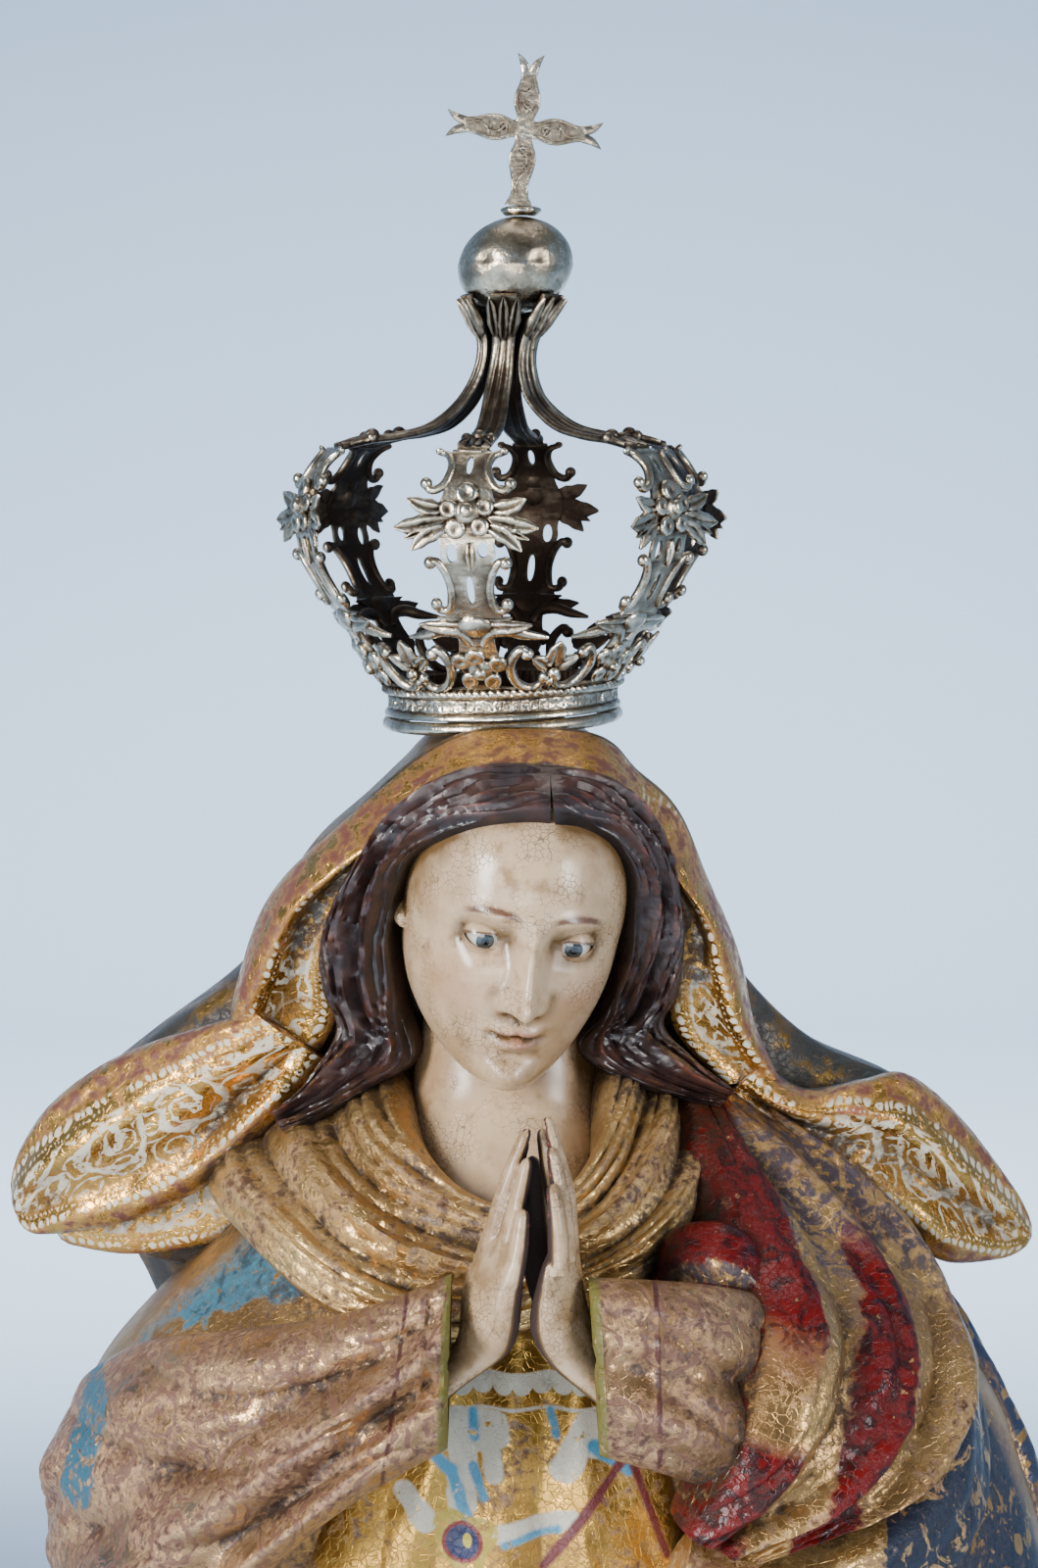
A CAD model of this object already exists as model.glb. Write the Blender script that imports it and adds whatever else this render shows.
"""A carved, gilded and painted wooden madonna with a silver crown.

Shapes are worked out in millimetres in the frame's own axes, +Z up with the viewer on the -Y side, and
turned to metres when a mesh is made. Left and right are the viewer's, but the hands and eyes are named
for the figure's own.
"""
import math

import bmesh
import bpy
import numpy as np
from mathutils import Matrix, Vector


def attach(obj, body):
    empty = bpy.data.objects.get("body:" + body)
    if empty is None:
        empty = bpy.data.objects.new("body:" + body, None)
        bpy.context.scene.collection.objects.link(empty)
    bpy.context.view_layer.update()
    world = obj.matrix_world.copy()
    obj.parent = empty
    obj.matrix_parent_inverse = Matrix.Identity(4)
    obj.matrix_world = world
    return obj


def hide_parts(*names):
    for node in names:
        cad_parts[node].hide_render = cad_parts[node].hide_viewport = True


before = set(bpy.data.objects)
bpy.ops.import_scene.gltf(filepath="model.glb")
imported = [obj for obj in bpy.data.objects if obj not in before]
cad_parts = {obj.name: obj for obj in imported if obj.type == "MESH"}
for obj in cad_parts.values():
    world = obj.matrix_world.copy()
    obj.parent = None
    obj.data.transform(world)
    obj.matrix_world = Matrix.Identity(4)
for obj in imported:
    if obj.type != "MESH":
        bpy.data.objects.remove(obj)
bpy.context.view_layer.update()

MM = 0.001
BODY = "root"

# Camera: the photograph's place and angle, for a picture of 1059 by 1600
LENS = 75
SENSOR = 36
EYE_POINT = (-0.001, -0.9925, 0.8669)
LOOKS_DOWN = 7  # degrees

# The head stands on its chin point, bowed, turned and leaning
CHIN = (-9.5, -27, 670)
HEAD_BOW = 11  # degrees, as are the next two
HEAD_TURN = 9
HEAD_ROLL = 7.5


def make_camera():
    data = bpy.data.cameras.new("camera")
    data.lens, data.sensor_width = LENS, SENSOR
    camera = bpy.data.objects.new("camera", data)
    camera.location = EYE_POINT
    camera.rotation_euler = (math.radians(90 - LOOKS_DOWN), 0, 0)
    bpy.context.scene.collection.objects.link(camera)
    bpy.context.scene.camera = camera


make_camera()


# Curves and solids


def smooth(x, low, high):
    t = np.clip((np.asarray(x, float) - low) / (high - low), 0, 1)
    return t * t * (3 - 2 * t)


def bell(x, width):
    return np.exp(-((x / width) ** 2))


def power(x, exponent):
    return np.sign(x) * np.abs(x) ** exponent


def unit(vectors):
    return vectors / np.linalg.norm(vectors, axis=1)[:, None]


def angles_round(count):
    return 2 * np.pi * np.arange(count) / count


def through(keys, t):
    """The points at t, 0 to 1, of a smooth curve through keys, which are numbers or points."""
    keys, t = np.asarray(keys, float), np.asarray(t, float)
    if keys.ndim == 0:
        return np.full(t.shape, float(keys))
    place = np.clip(t, 0, 1) * (len(keys) - 1)
    i = np.minimum(place.astype(int), len(keys) - 2)
    f = place - i
    a, b, c, d = (keys[np.clip(i + k, 0, len(keys) - 1)] for k in (-1, 0, 1, 2))
    if keys.ndim > 1:
        f = f[..., None]
    return b + 0.5 * f * (c - a + f * (2 * a - 5 * b + 4 * c - d + f * (3 * (b - c) + d - a)))


def lumps(points, size, seed):
    """Smooth unevenness from -1 to 1 over points, with lumps about size across."""
    draw = np.random.default_rng(seed)
    waves = draw.normal(size=(8, 3))
    length = np.linalg.norm(waves, axis=1, keepdims=True)
    waves *= (2 * np.pi / size) * draw.uniform(0.6, 1.5, (8, 1)) / length
    return np.sin(points @ waves.T + draw.uniform(0, 2 * np.pi, 8)).sum(-1) / 4


TOOL_MARKS = 0.28  # millimetres of unevenness left by the gouge


class Shell:
    """A closed solid: points, faces, the finish of each face, and for each point its place on the cloth."""

    def __init__(self, points, faces, finish, cloth):
        self.points, self.faces, self.finish, self.cloth = points, faces, finish, cloth


def from_rings(rings, finish, cloth):
    """Rows of points into a solid: each row is a ring, and a fan closes each end."""
    rows, count = rings.shape[:2]
    i, j = np.meshgrid(np.arange(rows - 1), np.arange(count), indexing="ij")
    a, b = i * count + j, i * count + (j + 1) % count
    quads = np.stack([a, b, b + count, a + count], -1).reshape(-1, 4)
    start, end = rows * count, rows * count + 1
    ring = np.arange(count)
    following = (ring + 1) % count
    last = (rows - 1) * count
    first_fan = np.stack([following, ring, np.full(count, start)], -1)
    last_fan = np.stack([last + ring, last + following, np.full(count, end)], -1)
    points = np.concatenate([rings.reshape(-1, 3), rings[0].mean(0)[None], rings[-1].mean(0)[None]])
    cloths = np.concatenate([cloth.reshape(-1, 3), cloth[0].mean(0)[None], cloth[-1].mean(0)[None]])
    finish = np.broadcast_to(finish, (rows - 1, count))
    finishes = np.concatenate([finish.ravel(), finish[0], finish[-1]])
    return Shell(points, quads.tolist() + first_fan.tolist() + last_fan.tolist(), finishes, cloths)


def arc_length(points):
    steps = np.linalg.norm(np.diff(points, axis=0), axis=1)
    return np.concatenate([[0], np.cumsum(steps)])


def drapery(form, spacing, relief=None, front=None, back=None, from_end=False):
    """Cloth between two rails a and b, 0 and 1 across, that swells towards the viewer and behind.
    Its ridges are folds that run along it, and relief(along, across) adds the finer ones. The front and back
    have a finish each, and the front's may be rolled over the edge. The place on the cloth is how far along,
    and how far from each rail."""
    fine = np.linspace(0, 1, 200)
    middle = (through(form["a"], fine) + through(form["b"], fine)) / 2
    length = arc_length(middle)
    rows = max(4, int(length[-1] / spacing))
    u = np.interp(np.linspace(0, length[-1], rows + 1), length, fine)
    start, end = through(form["a"], u), through(form["b"], u)
    across = end - start
    width = np.linalg.norm(across, axis=1)
    count = 2 * max(8, int(1.25 * width.max() / spacing))
    across /= width[:, None]
    past = np.clip((u - 1) / form.get("rounded", 1) + 1, 0, 1) if "rounded" in form else 0 * u
    tip = np.sqrt(np.maximum(1 - past**2, 0.02))
    out = through(form.get("toward", [[0, -1, 0], [0, -1, 0]]), u)
    out -= (out * across).sum(1)[:, None] * across
    out = unit(out)
    angle = 2 * np.pi * (np.arange(count) + 0.5) / count
    side, depth = power(np.cos(angle), 0.85), power(np.sin(angle), form.get("blunt", 0.8))
    w = (1 + side) / 2
    fade = smooth(u, 0, 0.2) * (1 - 0.5 * smooth(u, 0.85, 1))
    folds = np.zeros((len(u), count))
    for from_, to, height, broad in form.get("ridges", ()):
        folds += height * bell(w[None] - from_ - (to - from_) * u[:, None], broad)
    folds *= fade[:, None]
    if relief:
        folds = folds + relief(u[:, None], w[None])
    ahead = depth > 0
    swell = np.where(ahead, through(form["front"], u)[:, None] + folds, through(form["back"], u)[:, None])
    centre = (start + end) / 2
    rings = centre[:, None] + across[:, None] * (side[None] * (tip * width)[:, None] / 2)[..., None]
    rings = rings + out[:, None] * (depth[None] * swell * tip[:, None])[..., None]
    cuts = TOOL_MARKS * lumps(rings, 13, 3) + 0.6 * TOOL_MARKS * lumps(rings, 5, 4)
    rings = rings + out[:, None] * (np.maximum(depth, 0)[None] * cuts)[..., None]
    along = np.interp(u, fine, length)[:, None] + 0 * w[None]
    if from_end:
        along = length[-1] - along
    cloth = np.stack([along, w[None] * width[:, None], (1 - w[None]) * width[:, None]], -1)
    finish = np.where(depth > -form.get("rolled", 0), front, front if back is None else back)
    return from_rings(rings, finish[None], cloth)


SQUARED = 0.9  # below 1 a body is a little squarer than an ellipse


def turned(levels, rows, count, finish, pleats=None, hang=None):
    """A body of levels [z, middle x, middle y, half width, front, back]. It starts behind, pleats(angle, z)
    stand out from it, and hang(angle) lets its low end down."""
    t = np.linspace(0, 1, rows + 1)
    z, x, y, width, front, back = through(levels, t).T[..., None]
    angle = angles_round(count)[None] + np.pi
    side, ahead = power(np.sin(angle), SQUARED), power(np.cos(angle), SQUARED)
    more = pleats(angle, z) if pleats else 0
    drop = hang(angle) * ((1 - t) ** 2)[:, None] if hang else 0
    across = x + side * (width + more)
    deep = y - ahead * (np.where(ahead > 0, front, back) + more)
    rings = np.stack([across, deep, z - drop + 0 * angle], -1)
    girth = (angle - np.pi) * (width + front) / 2
    cloth = np.stack([girth + 0 * z, z + 0 * angle, drop + 0 * girth], -1)
    return from_rings(rings, finish, cloth)


# The robe: body and skirt in one, from the base up to the neck
ROBE = [
    [60, 0, 0, 108, 84, 82],
    [90, 0, 0, 106, 82, 82],
    [150, 0, 0, 105, 80, 82],
    [230, 2, 0, 113, 84, 86],
    [310, 4, -2, 128, 92, 90],
    [390, 6, -4, 146, 97, 94],
    [450, 8, -4, 156, 99, 96],
    [505, 8, -4, 156, 97, 94],
    [540, 6, -4, 148, 92, 92],
    [563, 5, -6, 138, 86, 88],
    [584, 4, -8, 120, 77, 84],
    [605, 6, -8, 100, 66, 76],
    [625, 4, -8, 78, 50, 66],
    [645, 0, -10, 30, 24, 42],
]
SKIRT_FOLDS = 13


def skirt_folds(angle, z):
    low = 1 - smooth(z, 260, 540)
    swing = angle + 0.3 * np.sin(2 * angle) + 0.0011 * (z - 300) * np.cos(angle - 0.6)
    narrow = 4.5 * np.sin(SKIRT_FOLDS * swing) + 3 * np.sin(5 * swing + 1)
    return low * narrow + 3 * np.sin(4 * angle + 0.9 - 0.006 * z) * (1 - smooth(z, 500, 600))


# The veil's outer side: a dome over the head that spreads into a cape and hangs lower behind
VEIL = [
    [594, -1, 12, 118, 14, 72],
    [612, -2, 10, 142, 14, 78],
    [632, -3.5, 10, 141, 16, 82],
    [650, -6, 10, 126, 18, 80],
    [664, -13, 10, 103, 20, 76],
    [687, -10, 10, 77, 26, 72],
    [708, -9, 12, 67, 36, 69],
    [726, -9, 14, 55, 46, 64],
    [740, -5.5, 15, 43, 54, 56],
    [751, -3.5, 16, 33.5, 62, 46],
    [758, -4, 17, 26, 60, 36],
    [763, -3, 18, 17, 38, 24],
    [765.5, -2, 19, 8, 12, 10],
]
VEIL_DROP = 96


def cape_folds(angle, z):
    return (1 - smooth(z, 600, 740)) * 5 * np.sin(10 * angle) * smooth(-np.cos(angle), -0.2, 0.4)


def cape_hang(angle):
    return VEIL_DROP * smooth(-np.cos(angle), 0.15, 0.95)


# Gold lining of the veil, from the top of the head down each side of the face, with a rolled hem
LINING = {
    "back": [26, 22, 18, 17, 20, 24, 24, 20],
    "rolled": 0.8,
    "ridges": [[0.1, 0.1, 3, 0.14], [0.5, 0.5, -4.5, 0.24]],
}
LININGS = [
    {
        "a": [[8, -50, 759], [-15, -50, 756], [-34, -47, 744], [-53, -43, 731], [-68, -38, 718],
              [-77, -34, 704], [-84, -30, 688], [-88, -26, 675]],
        "b": [[8, -47, 751], [-12, -46, 750], [-30, -42, 739], [-44, -36, 723], [-55, -30, 706],
              [-59, -25, 690], [-56, -22, 678], [-62, -20, 665]],
        "front": [3, 3, 4, 4, 5, 5, 5, 4],
        **LINING,
    },
    {
        "a": [[8, -50, 759], [22, -50, 756], [34.5, -47, 745], [46.5, -44, 727], [58, -40, 709],
              [64, -36, 691], [69, -32, 675], [77, -28, 660]],
        "b": [[8, -47, 751], [20, -47, 750], [34, -44, 740], [40, -40, 724], [44, -36, 707],
              [44, -30, 690], [46, -28, 674], [60, -28, 658]],
        "front": [3, 3, 4, 4, 5, 6, 6, 5],
        **LINING,
    },
]

# The two wings that the veil's hem throws out over the shoulders, and the flap under the left one
WINGS = [
    {
        "a": [[-80, -30, 680], [-99, -22, 673], [-114, -14, 667], [-132, -6, 657], [-149, 0, 642],
              [-161, 4, 621]],
        "b": [[-60, -24, 665], [-73, -24, 646], [-94, -16, 625], [-119, -6, 611], [-141, 0, 605],
              [-157, 4, 603]],
        "rounded": 0.1,
        "front": [5, 9, 13, 14, 12, 4],
        "back": [16, 16, 14, 12, 9, 4],
        "ridges": [[0.3, 0.34, 4, 0.15], [0.62, 0.7, -5, 0.11], [0.86, 0.9, 3, 0.1]],
    },
    {
        "a": [[71, -30, 664], [85, -26, 655], [103, -20, 657], [118, -12, 657], [137, -4, 640],
              [161, 6, 607]],
        "b": [[61, -28, 655], [79, -26, 641], [97, -22, 626], [113, -14, 611], [131, -6, 597],
              [158, 6, 596]],
        "rounded": 0.08,
        "front": [5, 8, 11, 12, 11, 4],
        "back": [16, 16, 14, 12, 9, 4],
        "ridges": [[0.24, 0.3, 4, 0.15], [0.56, 0.6, -5, 0.11], [0.84, 0.84, 3, 0.1]],
    },
]
FLAP = {
    "a": [[-70, -12, 650], [-101, -2, 626], [-127, 4, 616], [-149, 6, 612]],
    "b": [[-77, -10, 611], [-97, -4, 602], [-123, 2, 597], [-146, 6, 600]],
    "rounded": 0.1,
    "front": [5, 4, 4, 3],
    "back": [10, 9, 7, 4],
}

# The gilt neckerchief, round the neck from shoulder to shoulder
COLLAR = {
    "a": [[-71, 10, 643], [-94, -20, 627], [-81, -56, 617], [-56, -82, 604], [-23, -91, 596],
          [16, -91, 605], [41, -80, 617], [54, -52, 632], [50, -8, 649]],
    "b": [[-40, -8, 672], [-35, -34, 659], [-30, -54, 647], [-19, -66, 636], [-4, -71, 631],
          [12, -69, 635], [21, -58, 646], [24, -38, 662], [25, -14, 670]],
    "front": [7, 9, 9, 7, 6, 7, 9, 9, 7],
    "back": 26,
    "toward": [[-1, -0.2, 0.6], [-0.8, -0.7, 0.5], [-0.4, -1, 0.4], [0, -1, 0.4], [0, -1, 0.4],
               [0.3, -1, 0.4], [0.7, -0.8, 0.5], [1, -0.2, 0.6]],
    "ridges": [[0.16, 0.16, 3, 0.07], [0.33, 0.33, -3, 0.07], [0.5, 0.5, 3, 0.07], [0.67, 0.67, -3, 0.07],
               [0.84, 0.84, 3, 0.07]],
}

# Sleeves, from inside the body by the elbow to the open cuff
LEFT_SLEEVE = {
    "a": [[-112, 20, 560], [-131, -26, 567], [-111, -55, 586], [-82, -84, 598], [-53, -104, 608],
          [-33, -114, 617], [-19.5, -118, 624]],
    "b": [[-118, 20, 500], [-139, -30, 456], [-121, -78, 478], [-89, -104, 516], [-60, -119, 549],
          [-40, -127, 566], [-20.5, -129, 578]],
    "front": [8, 17, 26, 26, 22, 18, 15],
    "back": [30, 40, 44, 42, 36, 26, 18],
    "toward": [[-0.7, -0.7, 0], [-0.3, -1, 0], [0, -1, 0], [0, -1, 0]],
    "ridges": [[0.3, -0.1, 6, 0.1], [0.62, 0.16, -5, 0.08], [0.86, 0.34, 7, 0.1], [1.1, 0.5, -5, 0.08],
               [1.3, 0.68, 6, 0.1], [0.9, 0.9, 3, 0.07]],
}
RIGHT_SLEEVE = {
    "a": [[112, -40, 590], [92, -70, 600], [72, -92, 610], [48, -110, 619], [18, -118, 623]],
    "b": [[112, -66, 520], [94, -96, 540], [70, -114, 553], [48, -124, 566], [21, -129, 576]],
    "front": [4, 7, 13, 18, 15],
    "back": [40, 40, 36, 28, 18],
    "ridges": [[0.2, 0.1, 3, 0.1], [0.5, 0.44, -4, 0.09], [0.8, 0.72, 4, 0.1]],
}

# Red and gold mantle thrown over the right shoulder, with its thick turned hem at the waist
MANTLE = {
    "a": [[49, -40, 656], [54, -62, 643], [61, -85, 626], [66, -108, 612], [62, -125, 591],
          [55, -134, 572], [44, -134, 556]],
    "b": [[63, -20, 656], [88, -24, 640], [111, -32, 620], [124, -42, 597], [129, -58, 577],
          [111, -92, 557], [66, -122, 545]],
    "front": [6, 12, 16, 18, 17, 12, 6],
    "back": [24, 34, 44, 50, 46, 34, 20],
    "ridges": [[0.06, 0.1, 5, 0.07], [0.27, 0.28, -5, 0.07], [0.46, 0.46, 5, 0.07], [0.65, 0.64, -5, 0.07],
               [0.84, 0.82, 5, 0.07]],
}
MANTLE_HEM = {
    "a": [[124, -30, 604], [131, -46, 580], [124, -74, 560], [98, -104, 546], [66, -121, 540],
          [46, -124, 545]],
    "b": [[130, -20, 586], [140, -32, 556], [132, -62, 534], [106, -92, 520], [68, -110, 514],
          [34, -112, 520]],
    "front": [6, 10, 13, 13, 11, 5],
    "back": [20, 30, 34, 34, 30, 20],
    "ridges": [[0.5, 0.5, -3, 0.2]],
}

# Blue mantle behind the arms, falling to the base on each side, and its end drawn across the front
BLUE_FALLS = [
    {
        "a": [[92, 4, 628], [108, -10, 596], [115, -40, 556], [112, -62, 510], [104, -70, 430],
              [98, -66, 330], [90, -62, 200], [92, -64, 66]],
        "b": [[104, 26, 612], [125, 22, 586], [142, 16, 556], [157, 10, 517], [164, 4, 440],
              [150, 4, 330], [128, 2, 200], [124, 2, 64]],
        "front": [8, 10, 13, 16, 18, 16, 12, 10],
        "back": [20, 30, 34, 40, 40, 36, 28, 24],
        "toward": [[0.5, -0.85, 0], [0.6, -0.8, 0]],
        "ridges": [[0.3, 0.25, 5, 0.12], [0.55, 0.5, -5, 0.1], [0.8, 0.8, 5, 0.12]],
    },
    {
        "a": [[-134, 8, 510], [-146, 4, 430], [-134, 4, 330], [-120, 2, 200], [-120, 2, 64]],
        "b": [[-120, -46, 490], [-112, -66, 430], [-100, -66, 330], [-88, -62, 200], [-90, -62, 66]],
        "front": [4, 11, 14, 12, 10],
        "back": [30, 36, 34, 28, 24],
        "toward": [[-0.5, -0.85, 0], [-0.6, -0.8, 0]],
        "ridges": [[0.25, 0.2, 5, 0.12], [0.5, 0.5, -5, 0.1], [0.76, 0.76, 5, 0.12]],
    },
]

# Front of the tunic between the arms, in upright folds, and the mantle's end across the skirt
BODICE = {
    "a": [[-30, -80, 612], [-50, -86, 560], [-76, -84, 500], [-98, -68, 440]],
    "b": [[34, -80, 612], [42, -88, 560], [58, -92, 500], [80, -86, 440]],
    "front": [6, 15, 16, 8],
    "back": 20,
    "ridges": [[0.3, 0.16, 2.4, 0.06], [0.4, 0.32, -2, 0.06], [0.5, 0.48, 2, 0.06], [0.6, 0.64, -2, 0.06],
               [0.7, 0.8, 2.4, 0.06]],
}
SWAG = {
    "a": [[96, -84, 530], [50, -106, 524], [0, -108, 506], [-50, -96, 470], [-92, -70, 420],
          [-116, -44, 360]],
    "b": [[118, -56, 380], [74, -92, 350], [22, -100, 300], [-34, -90, 250], [-80, -66, 220],
          [-112, -38, 226]],
    "front": [10, 13, 15, 15, 13, 8],
    "back": [20, 26, 28, 28, 26, 20],
    "ridges": [[0.08, 0.08, 4, 0.07], [0.24, 0.22, -5, 0.07], [0.4, 0.38, 7, 0.07], [0.56, 0.54, -5, 0.07],
               [0.72, 0.72, 7, 0.07], [0.86, 0.86, -4, 0.06], [0.97, 0.97, 4, 0.06]],
}

NECK = [
    [600, -3, -20, 44, 46, 30],
    [625, -5, -22, 40, 43, 26],
    [640, -6, -22, 33, 36, 24],
    [655, -5, -20, 29, 27, 24],
    [672, -4, -16, 27, 24, 24],
    [690, -3, -10, 25, 18, 26],
]

# Head levels in the head's own frame, by height over the chin
HEAD = [
    [-1, 0, -8, 7, 24, 0],
    [1.5, 0, -4, 15, 32, 6],
    [8, 0, 0, 22.2, 37, 24],
    [18, 0, 2, 28, 39.5, 34],
    [29, 0, 2, 31.2, 40.5, 42],
    [41, 0, 2, 32.6, 41, 50],
    [53, 0, 2, 33.6, 42, 52],
    [65, 0, 5, 33.4, 43, 46],
    [75, 0, 10, 31, 42, 38],
    [83, 0, 16, 24, 34, 28],
    [88, 0, 22, 12, 20, 16],
    [90, 0, 24, 4, 7, 6],
]

# The face is a plain oval divided in thirds: brow, nose and chin. Features stand on it by their own sizes
EYES = {"apart": 13.0, "height": 46.0, "depth": -29.0, "radius": 6.0}
LID = 6.75  # radius of the lids round the glass
MOUTH_HEIGHT = 18.0
NOSE_BASE = 27.0


def spot(x, z, middle_x, middle_z, wide, high):
    return bell(np.abs(x) - middle_x, wide) * bell(z - middle_z, high)


def face_relief(x, z):
    """How far the features stand out from the plain oval."""
    run = smooth(z, NOSE_BASE - 2.6, NOSE_BASE + 0.6) * (1 - smooth(z, 47, 60))
    ridge = 2.6 + 7.6 * (1 - smooth(z, NOSE_BASE, 54)) - 0.8 * bell(z - 38, 5)
    nose = run * ridge * bell(x, 3.5 + 1.2 * bell(z - 30, 5))
    nose += 1.6 * spot(x, z, 0, 30.2, 3.2, 2.6) + 3.0 * spot(x, z, 5.7, 29, 2.3, 2.7)
    nose -= 1.1 * spot(x, z, 8.8, 29.5, 1.5, 3.4) + 2.2 * spot(x, z, 3.3, 26.2, 1.5, 1.2)
    sockets = -4.4 * spot(x, z, EYES["apart"], EYES["height"], 7.6, 5.0)
    sockets -= 1.8 * spot(x, z, 6.4, 47.5, 2.8, 5)
    brow = 2.1 * spot(x, z, 13.5, 54.6, 9, 2.7) + 0.6 * spot(x, z, 0, 55, 6, 4)
    bow = MOUTH_HEIGHT + 0.3 * np.cos(x * 0.8)
    upper = 2.3 * bell(x, 6.6) * bell(z - bow - 1.9, 1.55) * (1 - 0.2 * bell(x, 1.2))
    lower = 3.0 * bell(x, 5.6) * bell(z - bow + 2.3, 1.9)
    slit = -1.7 * bell(x, 5.6) * bell(z - bow, 0.5)
    corners = -0.6 * spot(x, z, 7.4, MOUTH_HEIGHT, 1.5, 1.6)
    philtrum = -0.55 * bell(x, 1.1) * bell(z - 23.4, 2.4) + 0.4 * spot(x, z, 2.1, 23, 1, 2.4)
    chin = 3.4 * spot(x, z, 0, 5.2, 7, 4.4) - 1.5 * spot(x, z, 0, 11.4, 7.5, 2)
    cheeks = 2.2 * spot(x, z, 18, 34, 8.5, 8.5) - 0.5 * spot(x, z, 20, 20, 6, 6)
    return nose + sockets + brow + upper + lower + slit + corners + philtrum + chin + cheeks


HEAD_FRAME = (
    Matrix.Translation(CHIN)
    @ Matrix.Rotation(math.radians(HEAD_ROLL), 4, "Y")
    @ Matrix.Rotation(math.radians(HEAD_TURN), 4, "Z")
    @ Matrix.Rotation(math.radians(HEAD_BOW), 4, "X")
)


def in_head(points):
    frame_ = np.array(HEAD_FRAME)
    return np.asarray(points, float) @ frame_[:3, :3].T + frame_[:3, 3]


def head(finish):
    t = np.concatenate([np.linspace(0, 0.66, 132, endpoint=False), np.linspace(0.66, 1, 24)])
    z, x, y, width, front, back = through(HEAD, t).T[..., None]
    count = 176
    even = angles_round(count)[None] + np.pi
    angle = even - 0.62 * np.sin(even)
    side, ahead = np.sin(angle), np.cos(angle)
    across = x + side * width
    deep = y - ahead * np.where(ahead > 0, front, back)
    up = z + 0 * angle
    facing = smooth(-deep, 8, 30)
    deep = deep - face_relief(across, up) * facing
    local = np.stack([across, deep, up], -1)
    return from_rings(in_head(local), finish, local)


# Each lid's height over the eye's middle, at its free edge and where it sinks in
LID_EDGES = {"upper": (1.9, 5.8), "lower": (-2.8, -5.4)}
EYE_HALF_WIDTH = 6.1


def eyelid(side, which, finish):
    """A lid that lies on the glass, from its free edge to where it sinks into the socket."""
    edge_height, far_height = LID_EDGES[which]
    rows, steps = 36, 8
    s = np.linspace(-1, 1, rows + 1)[:, None]
    arc = (1 - np.abs(s) ** 2.2) ** 0.75
    edge = edge_height * arc + 0.35 * s * side
    far = far_height * (0.55 + 0.45 * arc) + 0.3 * s * side
    t = np.linspace(0, 1, steps)[None]
    height = edge + (far - edge) * t
    across = EYE_HALF_WIDTH * s * (1 + 0.1 * t)

    def on(radius):
        flat = np.hypot(across, height)
        depth = np.sqrt(np.maximum(radius**2 - np.minimum(flat, radius * 0.985) ** 2, 0))
        return np.stack([across + 0 * height, -depth, height], -1)

    outer = on(LID + 0.25 * bell(t * 8, 3))
    inner = on(EYES["radius"] - 0.5)
    ring = np.concatenate([outer, inner[:, ::-1]], 1)
    centre = np.array([side * EYES["apart"], EYES["depth"], EYES["height"]])
    local = ring + centre
    return from_rings(in_head(local), finish, local)


def ear(side, finish):
    """The rim and lobe of an ear, beside the head."""
    t = np.linspace(0, 1, 30)
    path = through([[0, 0, 54], [1.5, 5, 58], [3, 9, 54], [2.5, 9, 47], [1.6, 5.5, 41], [0.6, 2, 37.5],
                    [-0.5, 0, 37]], t)
    thick = through([1.6, 1.8, 1.9, 1.9, 2.1, 2.4, 1.6], t)
    angle = angles_round(12)
    out = unit(np.cross(unit(np.gradient(path, axis=0)), [1.0, 0, 0]))
    ring = path[:, None] + thick[:, None, None] * (
        np.cos(angle)[None, :, None] * out[:, None] + np.sin(angle)[None, :, None] * np.array([1.0, 0, 0])
    )
    local = ring * [side, 1, 1] + [side * 32.2, -4, 0]
    return from_rings(in_head(local), finish, local)


HAIR = [
    {
        "a": [[8, -50, 755], [-15, -52, 754], [-34, -48, 742], [-49, -40, 724], [-58, -34, 705],
              [-59, -30, 688], [-55, -30, 675], [-62, -34, 661], [-73, -36, 649]],
        "b": [[8, -68, 745], [-9, -69, 743.5], [-24, -63.5, 737.5], [-33.5, -51, 727], [-39, -42, 707],
              [-37, -37, 684], [-33, -38, 668], [-47, -44, 659], [-71, -42, 646]],
        "front": [4, 5, 6, 7, 7, 7, 6, 6, 3],
        "back": [16, 18, 20, 22, 22, 22, 18, 12, 5],
        "blunt": 0.5,
        "ridges": [[0.2, 0.3, 2.4, 0.1], [0.5, 0.6, -2.4, 0.1], [1.0, 1.0, -3.6, 0.14]],
    },
    {
        "a": [[8, -50, 755], [25, -52, 751], [36, -48, 738], [42, -42, 720], [46, -38, 703],
              [46, -34, 687], [42, -32, 677], [50, -36, 667], [62, -40, 658]],
        "b": [[9, -68, 745], [18, -65, 742], [27, -60.5, 735.5], [31.5, -54.5, 723], [31, -46, 701],
              [25, -38, 682], [17, -38, 671], [31, -46, 662], [58, -44, 654]],
        "front": [4, 5, 6, 7, 7, 6, 6, 6, 3],
        "back": [16, 18, 20, 20, 20, 20, 18, 12, 5],
        "blunt": 0.5,
        "ridges": [[0.2, 0.3, 2.2, 0.1], [0.5, 0.6, -2.2, 0.1], [1.0, 1.0, -3.6, 0.14]],
    },
]


def strands(u, w):
    """Carved locks: round strands with narrow cuts between them, waving as they leave the hairline."""
    wave = w * (1 + 0.7 * u) + 0.07 * np.sin(16 * u + 3 * w) + 0.03 * np.sin(37 * u + 8 * w)
    lock = 2.2 * np.abs(np.sin(np.pi * 2.5 * wave + 0.6)) ** 0.8
    strand = 1.7 * np.abs(np.sin(np.pi * 6.5 * wave)) ** 0.8
    return (lock + strand - 2.4) * smooth(u, 0, 0.06)


def pleated(phase, valley=0.8):
    """Rounded ridges with narrow valleys between them, from 0 to 1, one for each whole number."""
    return np.abs(np.sin(np.pi * phase)) ** valley


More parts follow.
